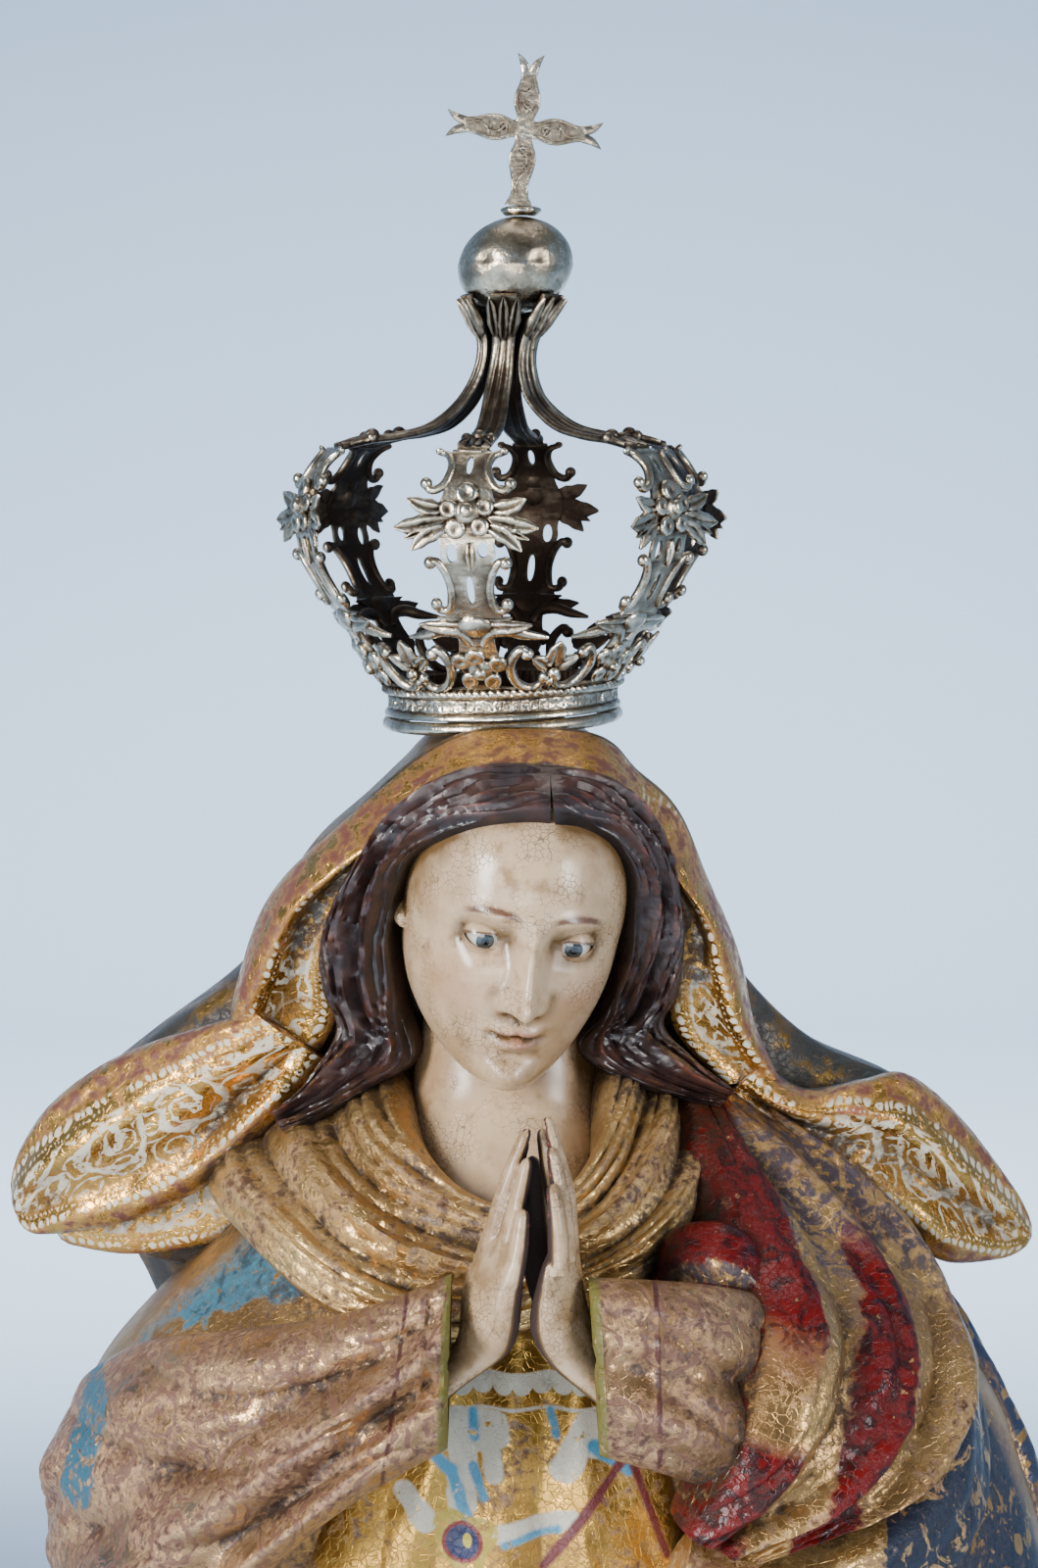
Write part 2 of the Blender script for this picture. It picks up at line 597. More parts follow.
def collar_folds(u, w):
    phase = 11.4 * w + 0.5 * np.sin(8.2 * u + 0.8) + 0.25 * np.sin(17 * u + 5 * w)
    high = 2.7 * (0.75 + 0.25 * np.sin(11 * u + 7 * w))
    return high * (pleated(phase, 0.6) - 0.7) + 4.2 * bell(w - 0.955, 0.04)


def left_sleeve_folds(u, w):
    sweep = w - 0.75 * u
    high = 5.4 * (0.75 + 0.25 * np.sin(7 * u - 5 * w)) * (1 - 0.7 * smooth(u, 0.78, 0.93))
    elbow = bell(u - 0.2, 0.13) * 3.5 * (pleated(2.8 * w + 5 * u, 0.6) - 0.7)
    fine = 1.2 * (pleated(9.3 * sweep + 0.4 * np.sin(14 * u + 3 * w)) - 0.6)
    return high * (pleated(4.1 * sweep + 0.3 * np.sin(9 * u), 0.62) - 0.68) + elbow + fine + cuff_trim(u, 0.9)


def right_sleeve_folds(u, w):
    high = 3.6 * (1 - 0.6 * smooth(u, 0.75, 0.95))
    return high * (pleated(3.4 * (w + 0.35 * u) + 0.3 * np.sin(8 * u), 0.62) - 0.68) + cuff_trim(u, 0.84)


def cuff_trim(u, at):
    """A sewn line round the sleeve a little way in from the cuff, and the cuff's own rolled edge."""
    line = 1.1 * bell(u - at, 0.008) - 0.8 * bell(u - at - 0.018, 0.008)
    return line + 1.0 * bell(u - 0.965, 0.012) - 3.2 * smooth(u, 0.972, 1.0) ** 2


def mantle_folds(u, w):
    phase = 5.4 * (w + 0.05 * np.sin(6 * u)) + 0.45 * np.sin(7 * u + 4 * w)
    high = 5.2 * (0.7 + 0.3 * np.sin(9 * u - 6 * w))
    return high * (pleated(phase, 0.62) - 0.68) + 0.9 * (pleated(14 * w + np.sin(9 * u)) - 0.6)


def hem_folds(u, w):
    return 2.4 * (pleated(2.6 * w + 0.6 * np.sin(9 * u), 0.7) - 0.6) + 1.2 * np.sin(16 * u + 2 * w) * w


def bodice_folds(u, w):
    low = smooth(u, 0.3, 0.55)
    return low * 1.6 * (pleated(7 * w + 0.4 * np.sin(9 * u), 0.7) - 0.6) + 0.8 * bell(u - 0.115, 0.012)


def swag_folds(u, w):
    phase = 7 * w + 0.5 * np.sin(6 * u + 3 * w)
    return 2.6 * (pleated(phase, 0.75) - 0.6)


def wing_folds(u, w):
    rim = 1.5 * bell(w - 0.035, 0.035) + 1.3 * bell(w - 0.965, 0.035)
    long = 3.6 * (pleated(2.6 * w + 0.35 * np.sin(5 * u + 1), 0.7) - 0.6) * np.sin(np.pi * w) ** 0.5
    waves = 0.8 * np.sin(11 * u + 3 * w) * np.sin(np.pi * w)
    waves = waves + 0.7 * np.sin(23 * u - 4 * w) * bell(w - 0.7, 0.25)
    return smooth(u, 0, 0.1) * (rim + long + waves)


def lining_folds(u, w):
    rim = 1.3 * bell(w - 0.06, 0.05)
    return smooth(u, 0, 0.1) * (rim + 1.3 * np.sin(17 * u + 2 * w) * np.sin(np.pi * w))


def blue_folds(u, w):
    return 2.6 * (pleated(3.5 * w + 0.4 * np.sin(11 * u), 0.7) - 0.6)


# The end of the red mantle tucked in the hollow between the collar and the right arm
TUCKED_END = {
    "a": [[36, -80, 614], [42, -84, 627], [54, -88, 631], [64, -90, 627], [71, -92, 614]],
    "b": [[38, -86, 604], [48, -92, 604], [56, -94, 604], [64, -94, 604], [71, -94, 604]],
    "front": [2, 6, 9, 7, 3],
    "back": 14,
    "ridges": [[0.3, 0.5, 4, 0.16], [0.8, 0.7, 3, 0.16]],
}

# The figure's finishes, in the order of its faces' material numbers
FINISHES = ["robe", "veil_outer", "veil_lining", "collar", "sleeve", "crimson", "hem", "navy", "bodice",
            "swag", "flesh", "hair", "cuff_lining"]
NUMBER = {name: i for i, name in enumerate(FINISHES)}

CUFF_WALL = 0.12
CUFF_DEPTH = 20


def cuff(sleeve, finish):
    """The hollow of a cuff, cut in from the sleeve's open end."""
    ends = np.array([sleeve["a"][-1], sleeve["b"][-1]], float)
    inward = ends[0] - np.array(sleeve["a"][-2], float)
    inward /= np.linalg.norm(inward)
    edges = ends + CUFF_WALL * (ends[::-1] - ends)
    steps = np.array([-CUFF_DEPTH, -0.3 * CUFF_DEPTH, 0.4 * CUFF_DEPTH])
    rails = [edge + inward * steps[:, None] for edge in edges]
    return drapery({"a": rails[0], "b": rails[1], "front": 11, "back": 11}, 1.5, front=finish)


def to_object(shell, name, finishes):
    mesh = bpy.data.meshes.new(name)
    mesh.from_pydata((shell.points * MM).tolist(), [], shell.faces)
    bm = bmesh.new()
    bm.from_mesh(mesh)
    if bm.calc_volume(signed=True) < 0:
        bmesh.ops.reverse_faces(bm, faces=bm.faces[:])
        bm.to_mesh(mesh)
    bm.free()
    for finish in finishes:
        mesh.materials.append(finish)
    mesh.polygons.foreach_set("material_index", np.asarray(shell.finish, np.int32))
    place = mesh.attributes.new("cloth", "FLOAT_VECTOR", "POINT")
    place.data.foreach_set("vector", np.asarray(shell.cloth, np.float32).ravel())
    piece = bpy.data.objects.new(name, mesh)
    bpy.context.scene.collection.objects.link(piece)
    return piece


def vectors_of(items, key):
    """That vector of each vertex or normal, in the piece's own metres."""
    values = np.zeros(len(items) * 3)
    items.foreach_get(key, values)
    return values.reshape(-1, 3)


def points_of(piece):
    return vectors_of(piece.data.vertices, "co") / MM


def put_points(mesh, points):
    mesh.vertices.foreach_set("co", (points * MM).astype(np.float32).ravel())


def reworked(whole, *steps):
    """The piece's mesh after those steps."""
    for kind, settings in steps:
        step = whole.modifiers.new("step", kind)
        for key, value in settings.items():
            setattr(step, key, value)
    mesh = bpy.data.meshes.new_from_object(whole.evaluated_get(bpy.context.evaluated_depsgraph_get()))
    whole.modifiers.clear()
    whole.data = mesh
    return whole


def cut_or_joined(whole, parts, operation):
    """The whole with the parts cut from it (DIFFERENCE) or joined to it (UNION)."""
    settings = {"operation": operation, "solver": "MANIFOLD"}
    reworked(whole, *[("BOOLEAN", {**settings, "object": part}) for part in parts])
    for part in parts:
        bpy.data.objects.remove(part)
    return whole


def combined(name, shells, finishes, operation="UNION", base=None):
    """One solid from several that run into each other, or with several cut from it."""
    made = [to_object(shell, f"{name}_{i}", finishes) for i, shell in enumerate(shells)]
    whole = cut_or_joined(base or made.pop(0), made, operation)
    whole.name = whole.data.name = name
    return whole


def dressed(piece, node):
    """A finished piece takes the place of its node and rides with the statue."""
    mesh = piece.data
    mesh.set_sharp_from_angle(angle=math.radians(50))
    mesh.polygons.foreach_set("use_smooth", np.ones(len(mesh.polygons), bool))
    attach(piece, BODY)
    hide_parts(node)


# The crown stands a little crooked on the veil: its rim is rolled and its top leans
CROWN_FOOT = np.array([-6.0, 7.0, 763.0])
RIM_RADIUS = 35
RIM_WIRE = 2
RIM_ROLL = 0.042
CROWN_LEAN = 0.1
LEAN_FROM = 100
ROLL_ENDS = 40
ARCHES = 6
FIRST_ARCH = -9
TURNS = [FIRST_ARCH + i * 360 / ARCHES for i in range(ARCHES)]
ORB_RADIUS = 17.7
ORB_HALF_HEIGHT = 15
ORB_HEIGHT = 139.1
METAL = 1.1  # thickness of the cast silver between its raised work

# Crown profile [radius, height]: the openwork crest, the arches swelling out, and the straps in to the neck
CREST = [[34.6, 13], [40.4, 20.5], [46, 28.6], [51, 36.5]]
CREST_LENGTH = 27
CREST_HALF = math.pi * 39 / ARCHES
ARCH = [[51.3, 36.7], [56.6, 44.5], [61, 53], [62.8, 62], [61.8, 70.5], [58.4, 78.5], [53.2, 84]]
ARCH_LENGTH = 56
STRAP = [[52.4, 84.4], [43, 86.4], [33, 87.6], [22, 90.6], [12.6, 98], [8, 107], [7.4, 115.5], [10.2, 123],
         [14.6, 130.5]]
STRAP_LENGTH = 74


def on_head(points):
    x, y, z = np.moveaxis(np.asarray(points, float), -1, 0)
    lean = CROWN_LEAN * np.maximum(0, z - LEAN_FROM)
    roll = RIM_ROLL * x * (1 - smooth(z, 0, ROLL_ENDS))
    return np.stack([x + lean, y, z + roll], -1) + CROWN_FOOT


def bent_to(profile, length, turn, wrap=None):
    """Bends work drawn flat as across, up and out onto a profile turned round the crown's axis. With wrap
    it also goes round the crown, so many millimetres to half an arch's share."""

    def bend(points):
        across, up, out = np.asarray(points, float).T
        t = np.clip(up / length, 0, 1)
        r, z = through(profile, t).T
        r1, z1 = through(profile, np.minimum(t + 0.01, 1)).T
        r0, z0 = through(profile, np.maximum(t - 0.01, 0)).T
        run = np.hypot(r1 - r0, z1 - z0)
        over = (up - length * t) / run
        radius = r + out * (z1 - z0) / run + over * (r1 - r0)
        height = z - out * (r1 - r0) / run + over * (z1 - z0)
        angle = math.radians(turn)
        if wrap:
            angle = angle + across / wrap * math.pi / ARCHES
            return on_head(np.stack([radius * np.sin(angle), -radius * np.cos(angle), height], -1))
        x = radius * math.sin(angle) + across * math.cos(angle)
        y = -radius * math.cos(angle) + across * math.sin(angle)
        return on_head(np.stack([x, y, height], -1))

    return bend


def ball(centre, radius, rows=9, count=14, flat=1.0, dish=0.0):
    """A round boss, flattened, and hollowed on top by a share of its radius."""
    t = np.linspace(0.06, math.pi - 0.06, rows)[:, None]
    angle = angles_round(count)[None]
    out = flat * np.cos(t) - dish * bell(np.sin(t), 0.55) * (np.cos(t) > 0)
    rings = np.stack([np.sin(t) * np.cos(angle), np.sin(t) * np.sin(angle), out + 0 * angle], -1)
    rings = rings * radius + np.asarray(centre, float)
    return from_rings(rings, 0, rings)


def stroke(path, radii, lift=0.6, high=0.85, around=10, step=0.9, bead=1.35):
    """Raised scroll work: a half-round line along a path drawn on the plate, with a bead at each end."""
    path = np.asarray(path, float)
    length = np.linalg.norm(np.diff(path, axis=0), axis=1).sum()
    t = np.linspace(0, 1, max(6, int(length / step)))
    middle, radius = through(path, t), through(radii, t)
    along = unit(np.gradient(middle, axis=0))
    normal = np.stack([along[:, 1], -along[:, 0]], -1)
    angle = angles_round(around)
    flat = middle[:, None] + normal[:, None] * (radius[:, None] * np.cos(angle))[..., None]
    out = lift + radius[:, None] * high * np.sin(angle)
    rings = np.concatenate([flat, out[..., None]], -1)
    shells = [from_rings(rings, 0, rings)]
    if bead:
        for end, r in ((middle[0], radius[0]), (middle[-1], radius[-1])):
            if r > 0.9:
                shells.append(ball([*end, lift + 0.4], r * bead, flat=0.95))
    return shells


def leaf(root, tip, width, curl=1.2, swell=1.7, bow=0.0):
    """A pointed leaf folded down its midrib, from its root to its tip, that may bow to one side."""
    root, tip = np.asarray(root, float), np.asarray(tip, float)
    length = np.linalg.norm(tip - root)
    along = (tip - root) / length
    normal = np.array([along[1], -along[0]])
    t = np.linspace(0.02, 0.985, max(10, int(length / 0.7)))
    half = width * np.sin(np.pi * t**0.82) ** 0.72 * (1 + 0.07 * np.sin(6 * np.pi * t))
    angle = 2 * np.pi * (np.arange(18) + 0.5) / 18
    side, depth = np.cos(angle), np.sin(angle)
    dome = swell * np.maximum(depth, 0) ** 0.6 * (1 - 0.6 * bell(side, 0.26))
    body = dome[None] * (0.4 + 0.6 * np.sin(np.pi * t**0.8))[:, None] + 0.45 * np.minimum(depth, 0)[None]
    out = 0.55 + body + (curl * t**2)[:, None]
    flat = root + along * (t * length)[:, None] + normal * (bow * np.sin(np.pi * t))[:, None]
    flat = flat[:, None] + normal * (half[:, None] * side)[..., None]
    rings = np.concatenate([flat, out[..., None]], -1)
    return from_rings(rings, 0, rings)


def plate(widths, length):
    t = np.linspace(0, 1, int(length) + 1)
    half = through(widths, t)
    across = np.stack([-half, -0.33 * half, 0.33 * half, half, half, 0.33 * half, -0.33 * half, -half], -1)
    out = np.array([0, 0, 0, 0, 1, 1, 1, 1]) * METAL + 0 * across
    rings = np.stack([across, (t * length)[:, None] + 0 * across, out], -1)
    return from_rings(rings, 0, rings)


def opening(x, y, wide, high):
    angle = angles_round(20)
    rings = np.stack([
        np.stack([x + wide * np.cos(angle), y + high * np.sin(angle), np.full(20, float(out))], -1)
        for out in (-4, 0, 8)
    ])
    return from_rings(rings, 0, rings)


def both_ways(path):
    return [[[side * x, y] for x, y in path] for side in (1, -1)]


# An arch's plate by half widths from the foot up, and the work raised on it, drawn for the right side
ARCH_PLATE = [8.6, 7.6, 6, 5.4, 5.4, 5.8, 7, 8, 7.8, 8.4, 9.4, 9.4, 8.6, 7.4, 6.6, 5.6, 4.9, 5, 5.8, 5.6]
ARCH_OPENINGS = [[0, 9.8, 1.15, 4.6], [-4.6, 21.4, 1.5, 2.9], [4.5, 22.4, 1.5, 2.3], [0, 48.8, 1.0, 3.5]]
FOOT_SCROLL = [[10.4, 5.4], [9.4, 3.2], [6.9, 3.4], [5.8, 7], [5.7, 11.2], [6.9, 15.6], [9, 18.6], [11, 18.6]]
HEAD_SCROLL = [[12.2, 42.2], [10.6, 40.2], [7.4, 41.6], [5.5, 45.6], [5.3, 49.6], [6.8, 53], [9.3, 54.6]]
SPRAY = [[[6, 34.4], [17.4, 37.4], 2.7, 1], [[6.2, 31.6], [21.2, 28.8], 3.1, 0.6],
         [[5.6, 29.4], [16.2, 22.4], 2.7, -1], [[8, 30], [18.4, 25.6], 1.6, 0]]
PETALS = [[-0.2, 39, 3.5], [-5.2, 34.4, 2.9], [5.2, 35, 2.8], [-3.2, 28.6, 3.1], [3.9, 29.2, 2.8]]
FLOWER_HEART = [0.2, 33.8]


def arch_work():
    """One arch drawn flat: a foot of two scrolls, a pierced stem, a flower between sprays of leaves, and two
    scrolls again at the head."""
    shells = [plate(ARCH_PLATE, ARCH_LENGTH)]
    for path in both_ways(FOOT_SCROLL):
        shells += stroke(path, [1.3, 1.25, 1.2, 1.3, 1.35, 1.3, 1.25, 1.4], high=1.05)
    for path in both_ways(HEAD_SCROLL):
        shells += stroke(path, [1.35, 1.3, 1.3, 1.35, 1.3, 1.2, 1.0], high=1.05)
    for side in (1, -1):
        for root, tip, width, bow in SPRAY:
            ends = [side * root[0], root[1]], [side * tip[0], tip[1]]
            shells.append(leaf(*ends, width, curl=1.8, bow=side * bow))
        shells += stroke([[side * 2.2, 4], [side * 2.3, 9.8], [side * 2.4, 15]], [0.5, 0.45, 0.5], bead=0)
        shells += stroke([[side * 1.8, 45], [side * 1.8, 52.4]], [0.5, 0.5], bead=0)
    shells += [ball([x, y, 1.7], r, flat=0.6, dish=0.42, rows=13, count=18) for x, y, r in PETALS]
    shells += [ball([*FLOWER_HEART, 1.4], 4.2, flat=0.5),
               ball([*FLOWER_HEART, 3.2], 2.3, flat=0.85, dish=0.15)]
    shells.append(leaf([0.6, 24.6], [0.9, 16.4], 1.5, curl=0.8))
    shells += stroke([[-4.4, 55.4], [0, 55], [4.4, 55.4]], [0.9, 1.1, 0.9], bead=0)
    return shells, [opening(*hole) for hole in ARCH_OPENINGS]


CREST_PLATE = [20.3, 5, 4.6, 5.4, 5.4, 4.6, 4.4, 5.6, 8.4]
BIG_SCROLL = [[12.6, 14.4], [11, 15.8], [8.9, 12.8], [8.5, 8.8], [10.6, 4.4], [14.8, 2.2], [18, 3.6],
              [18.6, 6.2]]
CAP_SCROLL = [[1.6, 17.6], [3.4, 21], [7.4, 22], [12, 20.6], [17.4, 19.6]]
CREST_PETALS = [[-0.9, 13.9, 2.7], [5, 11.6, 2.6], [-4.9, 12.6, 2.6], [-3.2, 6.2, 2.6], [3.5, 5.9, 2.6]]
BETWEEN = [[0, 10.6, 2.9], [50, 8.6, 2.3], [-50, 8.6, 2.3]]  # leaves of the bud [turn, reach, half width]


def crest_work():
    """The crest's share under one arch, drawn flat: a flower between two big C-scrolls under a leafy cap, and
    a bud with three leaves half way to the next arch."""
    shells = [plate(CREST_PLATE, CREST_LENGTH)]
    for path in both_ways(BIG_SCROLL):
        shells += stroke(path, [1.3, 1.25, 1.35, 1.5, 1.45, 1.3, 1.15, 1.2], high=1.1)
    for path in both_ways(CAP_SCROLL):
        shells += stroke(path, [1.1, 1.5, 1.7, 1.4, 0.5], high=1.0, bead=0)
    shells += [leaf([side * 2.4, 23.6], [side * 13, 24.6], 2.5, bow=side * 0.8) for side in (1, -1)]
    shells.append(ball([0, 24.2, 1.0], 4.0, flat=0.5, dish=0.1, count=20))
    shells += [ball([x, y, 1.5], r, flat=0.62, dish=0.4, rows=11, count=16) for x, y, r in CREST_PETALS]
    shells += [ball([0.2, 9.6, 1.2], 3.6, flat=0.5), ball([0.2, 9.4, 2.9], 1.8, flat=0.9)]
    for turn, reach, width in BETWEEN:
        way = np.array([math.sin(math.radians(turn)), math.cos(math.radians(turn))])
        middle = np.array([CREST_HALF, 8.6])
        shells.append(leaf(middle, middle + way * reach, width, curl=1.2))
    shells += [ball([CREST_HALF, 8.8, 2.6], 1.6), ball([CREST_HALF, 5.2, 1.4], 1.3)]
    shells += stroke([[CREST_HALF, -1], [CREST_HALF, 6.5]], [1.3, 1.1], bead=0)
    return shells, [opening(side * 5.9, 16.4, 1.2, 1.5) for side in (1, -1)]


def strap_work():
    """A strap of three round ribs over a thin web, with a knop where it leaves the arch and leaf tips that
    hold the orb."""
    shells = [plate([4.2, 4.1, 4, 3.8, 3.4, 3, 2.9, 3.6, 3.8], STRAP_LENGTH)]
    for share, radius in ((1, 1.25), (0, 1.0), (-1, 1.25)):
        path = [[share * x, y] for x, y in ([3.5, 0.5], [3.2, 15], [3, 30], [2.6, 44], [2.1, 56], [3, 68])]
        radii = [1.05 * radius, radius, radius, radius, 1.1 * radius, 1.1 * radius]
        shells += stroke(path, radii, around=8, bead=0)
    for side in (1, -1):
        shells.append(leaf([side * 2.2, 58], [side * 4.4, 73.4], 1.9, curl=1.2, swell=2.2))
        shells.append(leaf([side * 1.0, 12], [side * 5.0, 3], 1.8, curl=0.4))
        shells.append(ball([side * 3.6, 9.6, 1.4], 1.7))
    shells.append(leaf([0, 57], [0, 73.8], 2.1, curl=1.0, swell=2.4))
    shells += [ball([0, 10.6, 1.8], 2.1), leaf([0, 10], [0, 1], 2.2, curl=0.6)]
    return shells, []


def bent_copies(name, work, bends, finish):
    """Unites flat work once and bends a copy of it to each place."""
    shells, holes = work
    flat = combined(name, shells, [finish])
    if holes:
        flat = combined(name, holes, [finish], "DIFFERENCE", flat)
    at = points_of(flat)
    made = []
    for i, bend in enumerate(bends):
        mesh = flat.data.copy()
        put_points(mesh, bend(at))
        mesh.update()
        piece = bpy.data.objects.new(f"{name}_{i + 1}", mesh)
        bpy.context.scene.collection.objects.link(piece)
        made.append(piece)
    bpy.data.objects.remove(flat)
    return made


def lathe(profile, count, relief):
    """A closed profile [radius, height] turned round the crown's axis, with relief(angle, height) on it."""
    profile = np.asarray(profile, float)
    angle = angles_round(count)[:, None]
    radius = profile[:, 0][None] + relief(angle, profile[:, 1][None])
    rings = np.stack([radius * np.sin(angle), -radius * np.cos(angle), profile[:, 1][None] + 0 * angle], -1)
    k = len(profile)
    i, j = np.meshgrid(np.arange(count), np.arange(k), indexing="ij")
    a, b = i * k + j, i * k + (j + 1) % k
    c, d = (i + 1) % count * k + (j + 1) % k, (i + 1) % count * k + j
    faces = np.stack([a, b, c, d], -1).reshape(-1, 4).tolist()
    points = on_head(rings.reshape(-1, 3))
    return Shell(points, faces, np.zeros(len(faces), int), rings.reshape(-1, 3))


FRIEZE_BOTTOM, FRIEZE_TOP = 6.6, 10.8


def chasing(angle, height):
    """Zigzags and half rounds chased in the frieze, and slanting cuts on the roll above it, worn smooth here
    and there."""
    frieze = smooth(height, FRIEZE_BOTTOM, FRIEZE_BOTTOM + 0.5)
    frieze = frieze * (1 - smooth(height, FRIEZE_TOP - 0.5, FRIEZE_TOP))
    run = angle * RIM_RADIUS
    share = (height - FRIEZE_BOTTOM) / (FRIEZE_TOP - FRIEZE_BOTTOM)
    worn = 0.35 + 0.65 * smooth(np.sin(5 * angle + 1) + 0.6 * np.sin(13 * angle), -0.9, 0.3)
    zigzag = np.abs(((run / 5.5) % 1) * 2 - 1) - share
    rounds = np.hypot(((run / 2.75) % 1 - 0.5) * 2.75, (share - 0.5) * 3.6) - 1.0
    lines = np.minimum(bell(zigzag, 0.16) + bell(rounds, 0.3), 1)
    roll = smooth(height, FRIEZE_TOP + 0.2, FRIEZE_TOP + 0.9)
    return worn * (0.5 * frieze * lines + 0.34 * roll * np.sin(2 * np.pi * (run / 2.2 + height * 0.35)))


def band_ring():
    lower = [[33, 4.3], [35.6, 4.3], [36.2, 4.6], [36.3, 5.3], [35.9, 6.0], [35.3, 6.4]]
    frieze = [[35.1 - 0.3 * bell(z - 8.7, 1.4), z] for z in np.linspace(6.7, 10.7, 12)]
    roll = [[35.9 + 1.2 * math.cos(a), 12.3 + 1.4 * math.sin(a)] for a in np.linspace(-1.3, 1.5, 8)]
    return lathe(lower + frieze + roll + [[34.6, 13.6], [33, 13.2]], 540, chasing)


def crown_band(finish):
    bends = [bent_to(CREST, CREST_LENGTH, turn, CREST_HALF) for turn in TURNS]
    crests = bent_copies("crest", crest_work(), bends, finish)
    ring = to_object(band_ring(), "crown_band_fine", [finish])
    return cut_or_joined(ring, crests, "UNION")


def crown_rim(finish):
    """A round wire bent to a ring, hammered a little flat in places."""
    section = [[RIM_RADIUS + RIM_WIRE * math.cos(a), RIM_WIRE * (1 + 0.99 * math.sin(a))]
               for a in angles_round(18)]
    return to_object(lathe(section, 260, lambda angle, height: -0.06 * (1 + np.sin(7 * angle + height))),
                     "crown_rim_fine", [finish])


# Dents in the orb [direction, share of the radius wide, depth]
DENTS = [[[-0.55, -0.8, 0.1], 0.17, 0.9], [[0.35, -0.85, 0.12], 0.13, 0.7], [[-0.28, -0.9, -0.35], 0.2, 0.8],
         [[0.1, -0.7, 0.5], 0.3, 0.4], [[0.75, -0.5, -0.3], 0.16, 0.7]]


def orb(finish):
    """Two halves of raised silver soldered round the middle, flattened and a little dented."""
    t = np.linspace(0.03, math.pi - 0.03, 72)[::-1, None]
    angle = angles_round(108)[None]
    way = np.stack([np.sin(t) * np.sin(angle), -np.sin(t) * np.cos(angle), np.cos(t) + 0 * angle], -1)
    inset = 0.35 - 0.24 * bell(t - math.pi / 2, 0.03) - 0.12 * lumps(way * 17, 14, 5)
    for dent, wide, deep in DENTS:
        far = np.linalg.norm(way - np.array(dent) / np.linalg.norm(dent), axis=-1)
        inset += deep * bell(far, wide)
    radii = np.array([ORB_RADIUS, ORB_RADIUS, ORB_HALF_HEIGHT])
    rings = way * (radii - inset[..., None]) + [0, 0, ORB_HEIGHT]
    return to_object(from_rings(on_head(rings), 0, rings), "crown_orb_fine", [finish])


WASHER = [[0.6, 154.2], [2.5, 154.15], [4.6, 153.85], [5.6, 154.5], [6.3, 155.1], [6.5, 155.6], [6.3, 156.0],
          [5.4, 156.4], [4.4, 156.7], [0.6, 156.7]]
WASHER_RIM = 155.6


def washer(finish):
    """A turned washer with a scalloped edge."""
    radius, height = np.array(WASHER).T[..., None]
    angle = angles_round(120)[None]
    radius = radius - 0.35 * np.abs(np.sin(5 * angle)) * bell(height - WASHER_RIM, 0.6)
    rings = np.stack([radius * np.sin(angle), -radius * np.cos(angle), height + 0 * angle], -1)
    return to_object(from_rings(on_head(rings), 0, rings), "crown_washer_fine", [finish])


# The cross: half widths up each arm, and how far each reaches: up, right, down and left
CROSS_MIDDLE = [-1.2, 179.6]
CROSS_TILT = 5
CROSS_REACH = [22.2, 23.4, 22.75, 23.6]
CROSS_ARM = [2.3, 2.7, 3.6, 4.0, 3.8, 3.1, 2.5, 2.2]
CROSS_PLATE = 0.7  # half the plate's thickness


def cross_slab(path, half, bevel=0.3):
    """A flat bar along a path, both faces alike, with a rounded edge."""
    path, half = np.asarray(path, float), np.asarray(half, float)
    along = unit(np.gradient(path, axis=0))
    normal = np.stack([along[:, 1], -along[:, 0]], -1)
    side = np.array([-1, -1, -1, 0, 1, 1, 1, 1, 0, -1.0])
    inner = np.array([0, 0, 1, 0, 1, 0, 0, 1, 0, 1.0]) * bevel
    depth = np.array([0.5, -0.5, -1, -1, -1, -0.5, 0.5, 1, 1, 1.0]) * CROSS_PLATE
    across = side[None] * np.maximum(half[:, None] - inner[None], 0.04)
    flat = path[:, None] + normal[:, None] * across[..., None]
    rings = np.concatenate([flat, np.broadcast_to(depth[None, :, None], across.shape + (1,))], -1)
    return from_rings(rings, 0, rings)


def cross_arm(reach, fishtail):
    """One arm pointing up from the middle, engraved with two lines that twine and end in a curl."""
    t = np.linspace(0, 1, 30)
    neck = reach - 5.2 if fishtail else reach
    widths = CROSS_ARM if fishtail else [2.3, 2.8, 3.8, 4.1, 3.6, 2.9, 2.5, 2.9, 4.2]
    shells = [cross_slab(np.stack([0 * t, 1.6 + t * (neck - 1.6)], -1), through(widths, t))]
    if fishtail:
        for side in (1, -1):
            horn = through([[side * 0.9, neck - 1.4], [side * 1.3, neck + 0.6], [side * 2.2, neck + 2.8],
                            [side * 4.0, reach]], t)
            shells.append(cross_slab(horn, through([1.35, 1.4, 1.05, 0.12], t)))
    s = np.linspace(0, 1, 60)
    line = {"lift": CROSS_PLATE, "high": 0.7, "around": 6, "bead": 0}
    for side in (1, -1):
        edge = np.stack([side * (through(widths, s) - 0.75), 2.6 + s * (neck - 3.4)], -1)
        shells += stroke(edge, [0.34, 0.34], step=0.5, **line)
    phase = 2 * math.pi * s
    for turn, start, long in ((1, 4.2, 6.6), (-1, 9.2, neck - 11.6)):
        wave = np.stack([turn * 1.35 * np.sin(phase), start + long * s + 0.9 * np.cos(phase)], -1)
        shells += stroke(wave, [0.22, 0.42, 0.22], step=0.4, **line)
    curl = 3 * math.pi * s
    spiral = np.stack([(0.3 + 1.5 * s) * np.sin(curl), 6.4 + (0.3 + 1.7 * s) * np.cos(curl)], -1)
    shells += stroke(spiral, [0.3, 0.36], step=0.4, **line)
    return shells


